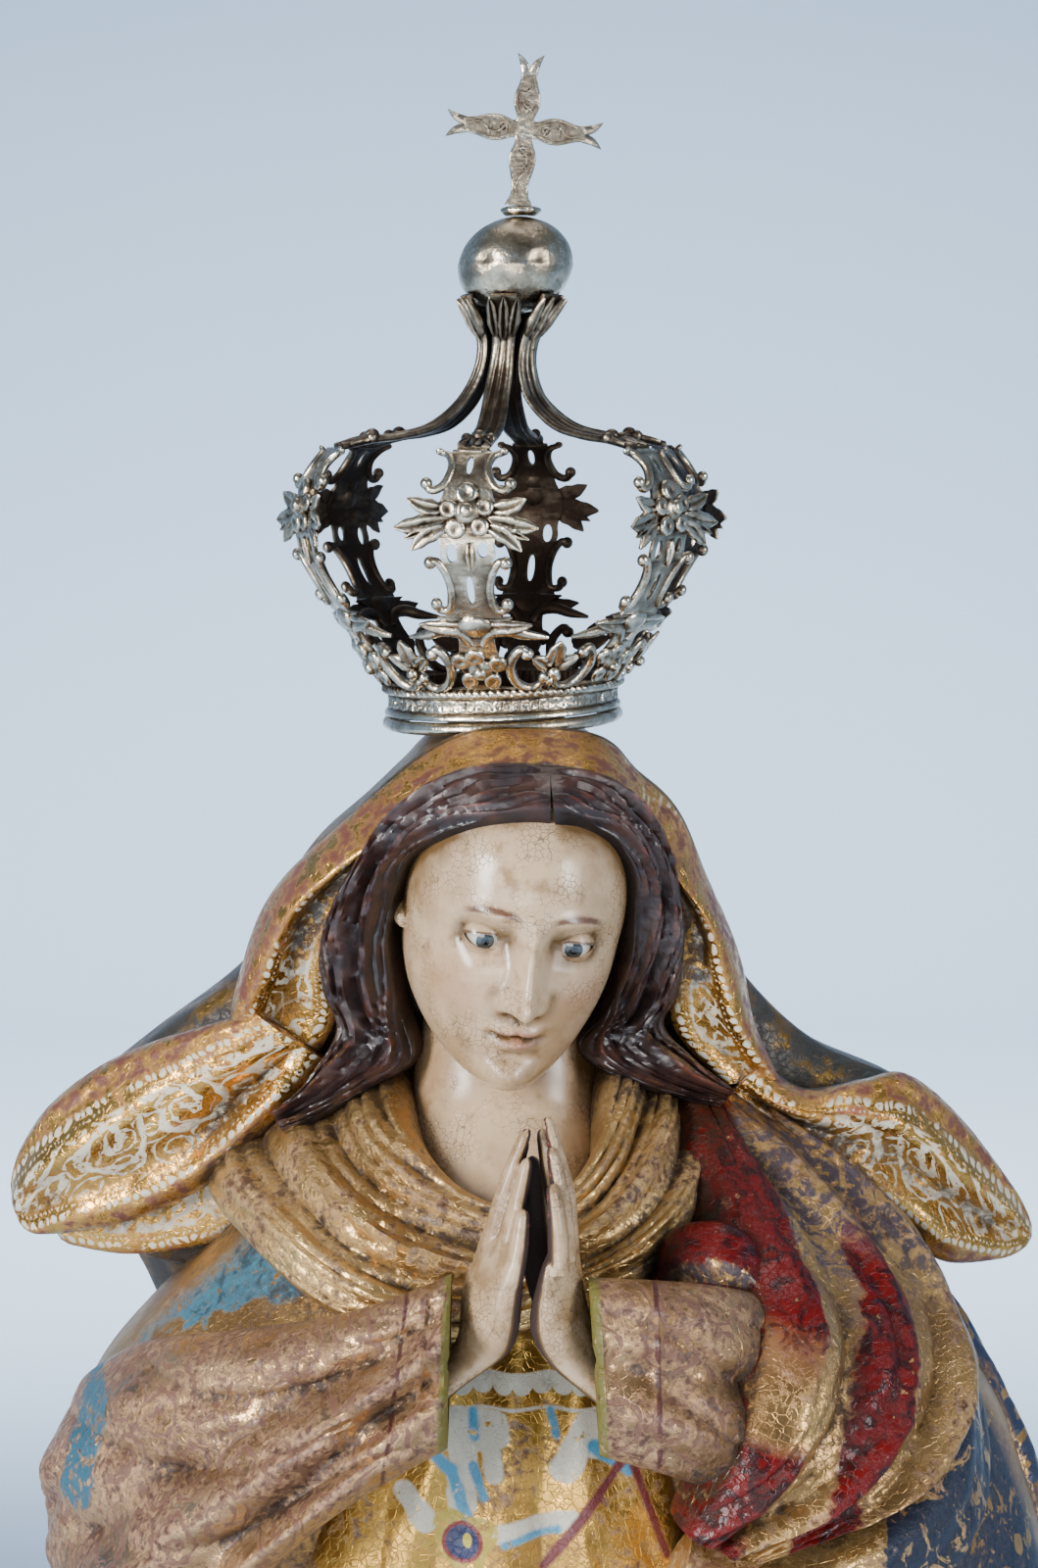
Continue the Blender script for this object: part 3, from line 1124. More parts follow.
def cross(finish):
    """A flat cross with swelling arms that end in fishtails, engraved on its face."""
    shells = []
    for i, reach in enumerate(CROSS_REACH):
        cos, sin = math.cos(i * math.pi / 2), math.sin(i * math.pi / 2)
        for shell in cross_arm(reach, i != 2):
            x, y = shell.points[:, 0].copy(), shell.points[:, 1].copy()
            shell.points[:, 0], shell.points[:, 1] = x * cos + y * sin, y * cos - x * sin
            shells.append(shell)
    span = np.linspace(-2.9, 2.9, 9)
    shells.append(cross_slab(np.stack([0 * span, span], -1), np.full(9, 2.9), 0.35))
    boss = cross_slab(np.stack([0 * span, 0.68 * span], -1), np.full(9, 2.0), 0.3)
    boss.points[:, 2] *= 1.35
    shells.append(boss)
    piece = combined("crown_cross_fine", shells, [finish])
    cos, sin = math.cos(math.radians(CROSS_TILT)), math.sin(math.radians(CROSS_TILT))
    middle = on_head([[CROSS_MIDDLE[0], 0, CROSS_MIDDLE[1]]])[0]
    x, y, out = points_of(piece).T
    placed = np.stack([x * cos + y * sin, -out, y * cos - x * sin], -1)
    put_points(piece.data, placed + middle)
    piece.data.update()
    return piece


# Hands as limbs of oval sections [x, y, z, half width, half depth, skew], whose far side stands outward by
# the skew. Each finger [depth, knuckle, middle, tip] is a limb of its own, and chips [x, y, z, radius] are
# broken out of the tips and edges.
HANDS = {
    "right_hand": {
        "outward": -1,
        "palm": [[-29, -118, 587, 6, 6.5, 0], [-20, -118, 595, 6.5, 8, 1], [-11.4, -118, 603, 7.4, 10.5, 2],
                 [-9.2, -119, 610, 7.6, 12.4, 3], [-8.5, -119, 618, 7.4, 13.2, 3.6],
                 [-6.5, -119, 627, 5.6, 13.2, 4], [-4.6, -119, 636, 3.6, 12.8, 4.2]],
        "fingers": [
            [9.6, [-9.6, 629], [-4.2, 645], [0.7, 660]],
            [3.4, [-9, 629], [-4.8, 647], [1.3, 664.4]],
            [-3.2, [-6.2, 627], [-2, 642], [1.3, 657.4]],
            [-9.4, [-3, 624], [-1.1, 634], [0.2, 644.4]],
        ],
        "thumb": [[-9, -111, 608, 4, 3.4, 0], [-6, -109.5, 622, 3.4, 3, 0], [-4, -109, 634, 2.8, 2.6, 0],
                  [-2.8, -109, 642, 1.8, 1.8, 0]],
        "chips": [[1.4, -115.4, 665.6, 1.9], [3.2, -121.5, 658.8, 1.5], [2.5, -127.5, 644.6, 1.5],
                  [2.4, -129, 640.2, 1.0], [2.3, -129, 636, 0.9]],
    },
    "left_hand": {
        "outward": 1,
        "palm": [[32, -118, 583, 6, 6.5, 0], [22.6, -118, 591.5, 6.5, 8, 1],
                 [14.2, -118, 600.5, 7.4, 10.5, 2], [10.8, -119, 609, 7.9, 12.4, 3],
                 [9.8, -119, 617, 6.6, 13.2, 3.5], [10.2, -119, 625, 4.6, 13.2, 3.8],
                 [10.8, -119, 634, 2.9, 12.8, 3.4]],
        "fingers": [
            [9.6, [12.4, 629], [8.4, 646], [5.2, 663]],
            [3.4, [12.6, 630], [11.4, 648], [6.7, 667.6]],
            [-3.2, [11.8, 629], [10.6, 645], [7.8, 660.4]],
            [-9.4, [9.8, 627], [9.4, 640], [8, 651.4]],
        ],
        "thumb": [[12, -110, 602, 4.4, 3.4, 0], [6.5, -105.6, 615, 4.8, 2.4, 0],
                  [3.2, -104.6, 632, 4.6, 2.2, 0], [2.8, -105, 654, 3.2, 1.8, 0]],
        "chips": [[4.9, -116.5, 664.4, 2.2], [5.3, -118.4, 660, 1.8], [5.6, -122.8, 657.6, 1.8],
                  [6.6, -124, 653.2, 1.1], [6.4, -128.6, 648, 1.0], [6.6, -129.2, 643.4, 0.9],
                  [7.6, -115.8, 669, 1.3]],
    },
}
FINGER_SWELL = [[3.1, 4.1], [2.7, 3.9], [1.7, 2.4]]
HAND_GRAIN = 0.55


def limb(keys, outward, along, around):
    """A limb whose far end is rounded."""
    t = np.linspace(0, 1, along + 1)
    x, y, z, wide, deep, skew = through(keys, t).T[..., None]
    round_end = np.sqrt(np.clip(1 - (np.maximum(t - 0.86, 0) / 0.143) ** 2, 0.01, 1))[:, None]
    angle = angles_round(around)[None]
    across = wide * np.cos(angle) + outward * skew * np.sin(angle)
    rings = np.stack([x + round_end * across, y + round_end * deep * np.sin(angle), z + 0 * angle], -1)
    return from_rings(rings, 0, rings)


def hand(name, finishes):
    """One hand, its fingers apart from the knuckles up, with its tips chipped to the wood."""
    form = HANDS[name]
    outward, middle = form["outward"], form["palm"][-1][1]
    shells = [limb(form["palm"], outward, 50, 40), limb(form["thumb"], outward, 30, 24)]
    for depth, *path in form["fingers"]:
        keys = [[x, middle + depth * (1 - 0.07 * k), z, *FINGER_SWELL[k], 0] for k, (x, z) in enumerate(path)]
        shells.append(limb(keys, outward, 40, 24))
    whole = combined(f"{name}_fine", shells, finishes)
    reworked(whole, ("REMESH", {"mode": "VOXEL", "voxel_size": HAND_GRAIN * MM}),
             ("SMOOTH", {"factor": 0.5, "iterations": 3}))
    chips = []
    for i, (x, y, z, radius) in enumerate(form["chips"]):
        chip = ball([x, y, z], 1.25 * radius, rows=14, count=18)
        chip.points += 0.3 * radius * lumps(chip.points, 1.7, 20 + i)[:, None]
        chip.finish[:] = 1
        chips.append(to_object(chip, f"{name}_chip_{i}", finishes))
    return cut_or_joined(whole, chips, "DIFFERENCE")


GAZE_DOWN = 7


def eye(name, side, finish):
    """A glass eye. The place on it is across, up and ahead of its middle, as it looks down a little."""
    t = np.linspace(0.02, math.pi - 0.02, 40)[:, None]
    angle = angles_round(48)[None]
    way = np.stack([np.sin(t) * np.cos(angle), -np.cos(t) + 0 * angle, np.sin(t) * np.sin(angle)], -1)
    gaze = np.array(Matrix.Rotation(math.radians(GAZE_DOWN), 3, "X"))
    local = (way @ gaze.T) * (EYES["radius"] - 0.05)
    centre = np.array([side * EYES["apart"], EYES["depth"], EYES["height"]])
    cloth = np.stack([way[..., 0], way[..., 2], -way[..., 1]], -1) * EYES["radius"]
    return to_object(from_rings(in_head(local + centre), 0, cloth), f"{name}_fine", [finish])


# The eight-sided base: its moulding as [share of the half width, height]
BASE_HALF_WIDTH = 128
BASE_DEPTH_SHARE = 0.84
BASE_MOULDING = [
    [0.02, 0], [0.6, 0], [0.985, 0], [0.998, 0.8], [0.999, 4], [0.998, 8.2], [0.99, 9.3], [0.974, 11.8],
    [0.968, 14], [0.962, 17], [0.945, 21], [0.912, 26], [0.882, 30], [0.868, 33], [0.864, 36], [0.874, 38.4],
    [0.884, 40], [0.908, 42.2], [0.924, 44.4], [0.935, 47.4], [0.938, 51], [0.936, 55], [0.928, 57.8],
    [0.916, 59.5], [0.9, 60], [0.6, 60], [0.02, 60],
]
GILT_MOULDINGS = [[0.5, 9.4], [40, 58.5]]


def base(finishes):
    knots = len(BASE_MOULDING)
    place = np.linspace(0, 1, 150)[:, None] * (knots - 1)
    share, z = (np.interp(place, range(knots), column) for column in zip(*BASE_MOULDING))
    angle = angles_round(240)[None]
    from_flat = (angle + np.pi / 8) % (np.pi / 4) - np.pi / 8
    to_corner = np.pi / 8 - np.abs(from_flat)
    reach = share * BASE_HALF_WIDTH / np.cos(from_flat)
    flat = np.stack([np.cos(angle) + 0 * z, np.sin(angle) + 0 * z, z / 50 + 0 * angle], -1)
    knocks = lumps(flat * 100, 26, 7)
    reach = reach - share * (1.6 + 0.7 * knocks) * bell(to_corner, 0.03) - 0.25 * share * (1 + knocks)
    rings = np.stack([reach * np.cos(angle), reach * np.sin(angle) * BASE_DEPTH_SHARE, z + 0 * angle], -1)
    cloth = np.stack([angle * BASE_HALF_WIDTH + 0 * z, z + 0 * angle, 0 * rings[..., 0]], -1)
    gilt = sum((z[:-1] > low) & (z[:-1] < high) for low, high in GILT_MOULDINGS)
    return to_object(from_rings(rings, gilt, cloth), "base_fine", finishes)


FIGURE_TRIANGLES = 194000
# The deepest folds stay inside the space of the solids: what goes past a side [axis, direction, place] is
# drawn in by a share
SIDES = [[0, 1, 166.0], [1, -1, 143.0]]
DRAWN_IN = 0.6


def carved_figure(finishes):
    """The whole carving in one piece of wood: robe, mantle, veil, head, neck and hair."""
    n = NUMBER
    shells = [
        turned(ROBE, 120, 150, n["robe"], skirt_folds),
        turned(VEIL, 90, 180, n["veil_outer"], cape_folds, cape_hang),
        turned(NECK, 40, 90, n["flesh"]),
        head(n["flesh"]),
        drapery(FLAP, 2.0, front=n["veil_lining"], back=n["veil_outer"]),
        drapery(COLLAR, 1.2, collar_folds, n["collar"]),
        drapery(LEFT_SLEEVE, 1.4, left_sleeve_folds, n["sleeve"], from_end=True),
        drapery(RIGHT_SLEEVE, 1.4, right_sleeve_folds, n["sleeve"], from_end=True),
        drapery(MANTLE, 1.4, mantle_folds, n["crimson"]),
        drapery(TUCKED_END, 1.6, front=n["crimson"]),
        drapery(MANTLE_HEM, 1.6, hem_folds, n["hem"]),
        drapery(BODICE, 1.6, bodice_folds, n["bodice"]),
        drapery(SWAG, 2.6, swag_folds, n["swag"]),
    ]
    shells += [drapery(side, 1.4, lining_folds, n["veil_lining"], n["veil_outer"]) for side in LININGS]
    shells += [drapery(side, 1.4, wing_folds, n["veil_lining"], n["veil_outer"]) for side in WINGS]
    shells += [drapery(side, 2.6, blue_folds, n["navy"]) for side in BLUE_FALLS]
    shells += [drapery(side, 0.9, strands, front=n["hair"]) for side in HAIR]
    shells += [eyelid(side, which, n["flesh"]) for side in (-1, 1) for which in LID_EDGES]
    shells.append(ear(-1, n["flesh"]))
    figure = combined("figure_in_one_block", shells, finishes)
    hollows = [cuff(sleeve, n["cuff_lining"]) for sleeve in (LEFT_SLEEVE, RIGHT_SLEEVE)]
    figure = combined("figure_in_one_block", hollows, finishes, "DIFFERENCE", figure)
    triangles = sum(len(face.vertices) - 2 for face in figure.data.polygons)
    reworked(figure, ("DECIMATE", {"ratio": min(1, FIGURE_TRIANGLES / triangles)}))
    at = points_of(figure)
    for axis, way, near in SIDES:
        beyond = np.maximum(at[:, axis] * way - near, 0)
        at[:, axis] -= way * DRAWN_IN * beyond
    put_points(figure.data, at)
    return figure


# Finishes


def linear(code):
    """An sRGB hex colour as the linear colour a shader takes."""
    shares = [int(code[k : k + 2], 16) / 255 for k in (1, 3, 5)]
    return [c / 12.92 if c <= 0.04045 else ((c + 0.055) / 1.055) ** 2.4 for c in shares] + [1.0]


class Finish:
    """A material in the making, and what its nodes read: the place on the cloth, also in parts as how far
    along and from each rail, the place in the piece in millimetres, and how hollow, proud or tarnished."""

    def __init__(self, name):
        self.material = bpy.data.materials.new(name)
        self.material.use_nodes = True
        self.tree = self.material.node_tree
        self.cloth = self.add("Attribute", attribute_name="cloth").outputs["Vector"]
        self.parts = self.add("SeparateXYZ", [self.cloth]).outputs
        self.hollow, self.proud, self.tarnish = (self.add("Attribute", attribute_name=layer).outputs["Fac"]
                                                 for layer in ("hollow", "proud", "tarnish"))
        place = self.add("TexCoord").outputs["Object"]
        self.solid = self.add("VectorMath", {0: place, 3: 1000.0}, operation="SCALE")
        self.x, self.y, self.z = self.add("SeparateXYZ", [self.solid]).outputs

    def give(self, node, inputs):
        """Sets or links a node's inputs, given by name or in order. A node stands for its first output."""
        for key, value in inputs.items() if isinstance(inputs, dict) else enumerate(inputs):
            if isinstance(value, bpy.types.Node):
                value = value.outputs[0]
            if isinstance(value, bpy.types.NodeSocket):
                self.tree.links.new(value, node.inputs[key])
            else:
                node.inputs[key].default_value = linear(value) if isinstance(value, str) else value

    def add(self, kind, inputs=(), **settings):
        node = self.tree.nodes.new("ShaderNode" + kind)
        for key, value in settings.items():
            setattr(node, key, value)
        self.give(node, inputs)
        return node

    def coat(self, relief=None, strength=0.0, deep=0.0, **inputs):
        """Ends the material: the surface's own inputs, and its relief as a bump so many millimetres deep."""
        inputs = {key.replace("_", " "): value for key, value in inputs.items()}
        if relief:
            bump = {"Height": relief, "Strength": strength, "Distance": deep * MM}
            inputs["Normal"] = self.add("Bump", bump)
        self.give(self.tree.nodes["Principled BSDF"], inputs)
        return self.material

    def over(self, under, colour, mask):
        return self.add("Mix", {0: mask, 6: under, 7: colour}, data_type="RGBA").outputs[2]

    def times(self, a, b):
        return self.add("Math", [a, b], operation="MULTIPLY")

    def lacking(self, a, b):
        """a where b is not."""
        return self.add("Math", [a, b], operation="SUBTRACT", use_clamp=True)

    def either(self, a, b):
        return self.add("Math", [a, b], operation="MAXIMUM")

    def fade(self, value, empty, full):
        """0 at empty and 1 at full, evenly between them."""
        return self.add("MapRange", [value, empty, full])

    def band(self, away, low, high, soft=0.3):
        """1 between low and high."""
        return self.times(self.fade(away, low - soft, low + soft), self.fade(away, high + soft, high - soft))

    def blotches(self, where, size, low, high, detail=6.0, warp=0.0):
        """Ragged patches about size across: 0 below low, 1 above high."""
        noise = self.add("TexNoise", {"Vector": where, "Scale": 1 / size, "Detail": detail, "Roughness": 0.6,
                                      "Distortion": warp})
        return self.add("MapRange", [noise, low, high], interpolation_type="SMOOTHSTEP")

    def ellipse(self, x, z, middle_x, middle_z, wide, high):
        """Squared distance from an ellipse's middle, 1 on its edge."""
        dx = self.add("Math", [x, middle_x], operation="SUBTRACT")
        dz = self.add("Math", [z, middle_z], operation="SUBTRACT")
        a = self.add("Math", [self.times(dx, dx), 1 / wide**2, 0.0], operation="MULTIPLY_ADD")
        return self.add("Math", [self.times(dz, dz), 1 / high**2, a], operation="MULTIPLY_ADD")

    def length(self, x, z):
        flat = self.add("CombineXYZ", [x, z])
        return self.add("VectorMath", [flat], operation="LENGTH").outputs["Value"]

    def beads(self, along, away, spacing, row, radius):
        """A row of painted dots beside a hem, by how far along and away from it they stand: 1 on the dots."""
        a = self.add("Math", [along, self.times(spacing, 0.5)], operation="PINGPONG")
        far = self.length(a, self.add("Math", [away, row], operation="SUBTRACT"))
        return self.fade(far, radius, self.add("Math", [radius, 0.35], operation="SUBTRACT"))

    def scrolls(self, where, size, width):
        """Leafy volutes drawn by hand, one to a cell and turning either way: 1 on the strokes."""
        wander = self.add("TexNoise", {"Vector": where, "Scale": 1 / (0.7 * size), "Detail": 2.0})
        wander = self.add("VectorMath", [wander.outputs["Color"], (0.5, 0.5, 0.5)], operation="SUBTRACT")
        wander = self.add("VectorMath", {0: wander, 3: 0.45 * size}, operation="SCALE")
        place = self.add("VectorMath", [where, wander], operation="ADD")
        cells = self.add("VectorMath", {0: place, 3: 1 / size}, operation="SCALE")
        one_each = {"Vector": cells, "Scale": 1.0, "Randomness": 0.5}
        cell = self.add("TexVoronoi", one_each, voronoi_dimensions="2D")
        local = self.add("VectorMath", [cells, cell.outputs["Position"]], operation="SUBTRACT")
        x, y, _ = self.add("SeparateXYZ", [local]).outputs
        reach = self.length(x, y)
        angle = self.add("Math", [y, x], operation="ARCTAN2")
        chance = self.add("SeparateColor", [cell.outputs["Color"]])
        hand = self.add("Math", [chance, 0.5], operation="GREATER_THAN")
        hand = self.add("MapRange", {0: hand, 3: -1.0, 4: 1.0})
        turn = self.times(self.times(angle, hand), 1 / (2 * math.pi))
        turn = self.add("Math", [turn, chance.outputs[1]], operation="ADD")
        phase = self.add("Math", [reach, -3.1, turn], operation="MULTIPLY_ADD")
        to_line = self.add("Math", [phase, 0.5], operation="PINGPONG")
        lobes = self.add("Math", [self.times(angle, 1.12), 0.5], operation="PINGPONG")
        wide = self.add("Math", [lobes, 0.3, width], operation="MULTIPLY_ADD")
        line = self.fade(to_line, self.add("Math", [wide, 0.06], operation="ADD"), wide)
        return self.times(line, self.fade(reach, 0.62, 0.5))


def aged_gilding(name, gold, under, gesso, wear, paints=(), roughness=0.33, engraved=None, grime_level=0.9,
                 paint_gloss=(0.46, 0.5)):
    """Water gilding on red bole over gesso, burnished and then worn: gold leaf with bole and gesso showing
    through on the ridges and in flecks, egg tempera painted over it, and grime in the hollows."""
    at = Finish(name)
    # Wear comes first on what stands proud, thick in some places and a fine speckle in others
    large = at.add("TexNoise", {"Vector": at.solid, "Scale": 1 / 24, "Detail": 3.0})
    fine = at.add("TexNoise", {"Vector": at.solid, "Scale": 1 / 3.0, "Detail": 8.0, "Roughness": 0.74})
    rubbed = at.add("Math", [fine, 0.62, at.times(large, 0.38)], operation="MULTIPLY_ADD")
    rubbed = at.add("Math", [at.proud, 0.14, rubbed], operation="MULTIPLY_ADD")
    bare = at.fade(rubbed, 0.6 - wear, 0.68 - wear)
    leaf_colour = at.over(gold[0], gold[1], at.blotches(at.solid, 30.0, 0.35, 0.7, 3.0))
    ground = at.over(under, gesso, at.blotches(at.solid, 2.6, 0.42, 0.62))
    colour = at.over(leaf_colour, ground, bare)
    metal = at.lacking(1.0, bare)
    for paint, mask, chips in paints:
        whole = at.lacking(mask(at), at.blotches(at.solid, 3.2, 0.72 - chips, 0.78 - chips))
        colour = at.over(colour, paint, whole)
        metal = at.lacking(metal, whole)
    uneven = at.fade(fine, 0.36, 0.56)
    dirt = at.times(at.fade(at.times(at.hollow, uneven), 0.0, 0.5), grime_level)
    dirt = at.either(dirt, at.times(at.blotches(at.solid, 2.2, 0.62, 0.75), 0.35))
    metal_left = at.lacking(metal, at.times(dirt, 0.7))
    dull = at.add("MapRange", {0: metal_left, 3: paint_gloss[0], 4: roughness})
    hazy = at.add("Math", [large, 0.22, dull], operation="MULTIPLY_ADD")
    # Tool marks, flaking edges and fine age cracks
    cracks = at.add("TexVoronoi", {"Vector": at.solid, "Scale": 1 / 2.4}, feature="DISTANCE_TO_EDGE")
    height = at.times(at.fade(cracks, 0.0, 0.05), 0.5)
    height = at.add("Math", [bare, -0.6, height], operation="MULTIPLY_ADD")
    tooling = at.add("TexNoise", {"Vector": at.solid, "Scale": 1 / 2.6, "Detail": 5.0})
    height = at.add("Math", [tooling, 1.6, height], operation="MULTIPLY_ADD")
    if engraved:
        height = at.add("Math", [engraved(at), -1.0, height], operation="MULTIPLY_ADD")
    colour = at.over(colour, "#2a1a0e", dirt)
    return at.coat(height, 0.55, 0.35, Base_Color=colour, Roughness=at.lacking(hazy, 0.1),
                   Metallic=at.times(metal_left, 0.96), Specular_IOR_Level=paint_gloss[1])


def hem_width(at):
    """The rubbed hem is narrow on the strip beside the face and broad on the wings."""
    whole = at.add("Math", [at.parts[1], at.parts[2]], operation="ADD")
    return at.times(at.fade(whole, 24.0, 44.0), 5.5)


def from_hem(at):
    inner = at.add("Math", [at.parts[1], at.parts[2]], operation="MINIMUM")
    return at.add("Math", [inner, hem_width(at)], operation="SUBTRACT")


def hem_pattern(at):
    """White dots in a row along both hems with smaller ones inside."""
    wander = at.add("TexNoise", {"Vector": at.cloth, "Scale": 0.12, "Detail": 1.0})
    along = at.add("Math", [wander, 6.0, at.parts[0]], operation="MULTIPLY_ADD")
    hem = hem_width(at)
    mask = 0.0
    for rail in at.parts[1:3]:
        away = at.add("Math", [wander, 2.4, rail], operation="MULTIPLY_ADD")
        away = at.add("Math", [away, hem], operation="SUBTRACT")
        for spacing, row, radius in ((3.2, 4.2, 1.3), (1.9, 6.6, 0.5)):
            mask = at.either(mask, at.beads(along, away, spacing, row, radius))
    return at.times(mask, at.blotches(at.solid, 14.0, 0.4, 0.46, 2.0))


PLAIN_HEM = 6.5  # left free of scrolls for the rows of dots


def leaf_scrolls(size, width):
    """White leafy volutes brushed over the middle of the cloth, with smaller ones in the gaps."""

    def mask(at):
        drawn = at.add("VectorMath", [at.cloth, (0.62, 1.0, 0.0)], operation="MULTIPLY")
        lines = at.either(at.scrolls(drawn, size, width), at.scrolls(drawn, 0.5 * size, 0.3 * width))
        lines = at.times(lines, at.blotches(at.solid, 1.2, 0.3, 0.42, 3.0))
        return at.times(lines, at.fade(from_hem(at), PLAIN_HEM, PLAIN_HEM + 1))

    return mask


def scroll_lines(size, width):
    return lambda at: at.scrolls(at.cloth, size, width)


def patches(size, low, high):
    return lambda at: at.blotches(at.solid, size, low, high, 4.0, 1.5)


def both(a, b):
    return lambda at: at.times(a(at), b(at))


def beside(*lines):
    """Ragged brush strokes on the front, each [x, z, x, z, half width]."""

    def mask(at):
        flat = at.add("VectorMath", [at.solid, (1.0, 0.0, 1.0)], operation="MULTIPLY")
        ragged = at.add("TexNoise", {"Vector": at.solid, "Scale": 1 / 7, "Detail": 5.0})
        painted = 0.0
        for x0, z0, x1, z1, half in lines:
            run = np.array([x1 - x0, 0.0, z1 - z0])
            ahead = at.add("VectorMath", [flat, (x0, 0.0, z0)], operation="SUBTRACT")
            t = at.add("VectorMath", [ahead, tuple(run / (run @ run))], operation="DOT_PRODUCT")
            t = at.add("Math", [t.outputs["Value"], 0.0], operation="ADD", use_clamp=True)
            foot = at.add("VectorMath", {0: tuple(run), 3: t}, operation="SCALE")
            away = at.add("VectorMath", [ahead, foot], operation="DISTANCE").outputs["Value"]
            away = at.add("Math", [ragged, half, away], operation="MULTIPLY_ADD")
            painted = at.either(painted, at.fade(away, 1.5 * half + 0.5, 1.5 * half - 0.5))
        streaks = at.add("VectorMath", [flat, (1.0, 0.0, 0.2)], operation="MULTIPLY")
        painted = at.times(painted, at.blotches(streaks, 1.3, 0.24, 0.4))
        return at.times(painted, at.fade(at.y, -25.0, -40.0))

    return mask


def rubbed_rim(at):
    """The rolled rims of the cloth, rubbed to the red ground."""
    return at.times(at.fade(from_hem(at), 3.0, 0.6), at.blotches(at.solid, 5.0, 0.4, 0.6))


HOOD_FOOT = 706.0


def on_the_cape(at):
    """The dark glaze, left on the cape in patches and worn off the hood."""
    return at.times(at.fade(at.z, HOOD_FOOT, HOOD_FOOT - 20.0), at.blotches(at.solid, 12.0, 0.34, 0.52))


def cuff_edge(at):
    return at.fade(at.parts[0], 3.4, 2.4)


def cuff_ribbon(at):
    return at.times(at.band(at.parts[0], 17.2, 18.8), at.blotches(at.solid, 5.0, 0.36, 0.46))


def upper_mantle(at):
    return at.fade(at.parts[0], 95.0, 60.0)


def crimson_bands(at):
    """Crimson left along the mantle's inner edge, in one sweep over the arm, and at its end by the waist."""
    ragged = at.add("TexNoise", {"Vector": at.solid, "Scale": 1 / 7, "Detail": 5.0, "Roughness": 0.65})
    off = at.add("Math", [ragged, 9.0, at.parts[1]], operation="MULTIPLY_ADD")
    ridge = at.times(at.band(off, 3.0, 15.0, 0.8), at.fade(at.parts[0], 100.0, 80.0))
    sweep = at.times(at.band(off, 33.0, 50.0, 1.0), at.fade(at.parts[0], 42.0, 60.0))
    corner = at.times(at.fade(off, 18.0, 16.0), at.fade(at.parts[0], 116.0, 124.0))
    return at.either(at.either(ridge, sweep), corner)


# The chest's painted work by height over the floor, and the middle of its flower [across, height]
CHEST_LOBES = 585.6
CHEST_LINE = 579.0
FLOWER = (-17.0, 542.0)
PALE_LEAVES = beside([-22, 574, -9, 573, 6], [-17, 568, -17, 553, 4], [-9, 572, -8, 562, 2.8],
                     [19, 575, 12, 563, 4], [24, 576, 20, 570, 4], [-6, 545, 14, 549, 2.6],
                     [-33, 556, -27, 548, 3.4], [-28, 526, -38, 508, 4], [12, 524, 2, 506, 4],
                     [34, 520, 28, 500, 4])
BLUE_STROKES = beside([-26, 568, -20, 562, 1.9], [-20, 562, -16, 549, 1.7], [-14, 563, -11, 555, 1.4],
                      [-14, 578, -13.6, 571, 1.4], [8, 578, 9.5, 572, 1.2], [20, 569, 30, 562, 1.9],
                      [-5, 542, 10, 546, 1.1], [-30, 524, -42, 512, 1.6], [16, 520, 6, 502, 1.6])


def chest_white(at):
    """A row of half round lobes, a line under it, and broad pale leaves hanging from it on each side."""
    lobes = at.beads(at.x, at.z, 5.6, CHEST_LOBES, 3.1)
    lobes = at.either(lobes, at.band(at.z, CHEST_LOBES - 0.8, CHEST_LOBES + 3.2))
    line = at.band(at.z, CHEST_LINE - 0.5, CHEST_LINE + 0.5)
    return at.either(at.either(lobes, line), PALE_LEAVES(at))


def from_flower(at):
    """Across and up from the middle of the painted flower."""
    return [at.add("Math", pair, operation="SUBTRACT") for pair in ([at.x, FLOWER[0]], [at.z, FLOWER[1]])]


def flower_petals(at):
    dx, dz = from_flower(at)
    turn = at.add("Math", [dz, dx], operation="ARCTAN2")
    lobes = at.add("Math", [at.times(turn, 3.5)], operation="SINE")
    reach = at.add("Math", [lobes, -1.8, at.length(dx, dz)], operation="MULTIPLY_ADD")
    return at.times(at.fade(reach, 9.6, 8.8), at.blotches(at.solid, 4.0, 0.36, 0.5))


def round_spot(radius):
    return lambda at: at.fade(at.length(*from_flower(at)), radius, radius - 0.6)


def heart_spot(at):
    return at.fade(at.ellipse(at.x, at.z, FLOWER[0] + 1.4, FLOWER[1] + 0.6, 1.4, 2.2), 1.0, 0.7)


def silver():
    """Cast and chased silver with black sulphide left in the hollows and on what is never rubbed."""
    at = Finish("cast_silver_tarnished")
    cloud = at.add("TexNoise", {"Vector": at.solid, "Scale": 1 / 6, "Detail": 6.0, "Roughness": 0.65})
    black = at.tarnish
    for cause, share in ((at.hollow, 1.5), (cloud, 1.1), (at.proud, -0.25)):
        black = at.add("Math", [cause, share, black], operation="MULTIPLY_ADD")
    black = at.lacking(black, 0.36)
    ramp = at.add("ValToRGB", [black])
    ramp.color_ramp.elements[0].color = linear("#e8dcc4")
    ramp.color_ramp.elements[1].color = linear("#2b211a")
    for place, code in ((0.28, "#a3957e"), (0.6, "#574b3e")):
        ramp.color_ramp.elements.new(place).color = linear(code)
    pits = at.add("TexNoise", {"Vector": at.solid, "Scale": 1 / 1.4, "Detail": 4.0})
    return at.coat(pits, 0.6, 0.3, Base_Color=ramp, Metallic=1.0,
                   Roughness=at.add("MapRange", {0: black, 3: 0.17, 4: 0.55}))


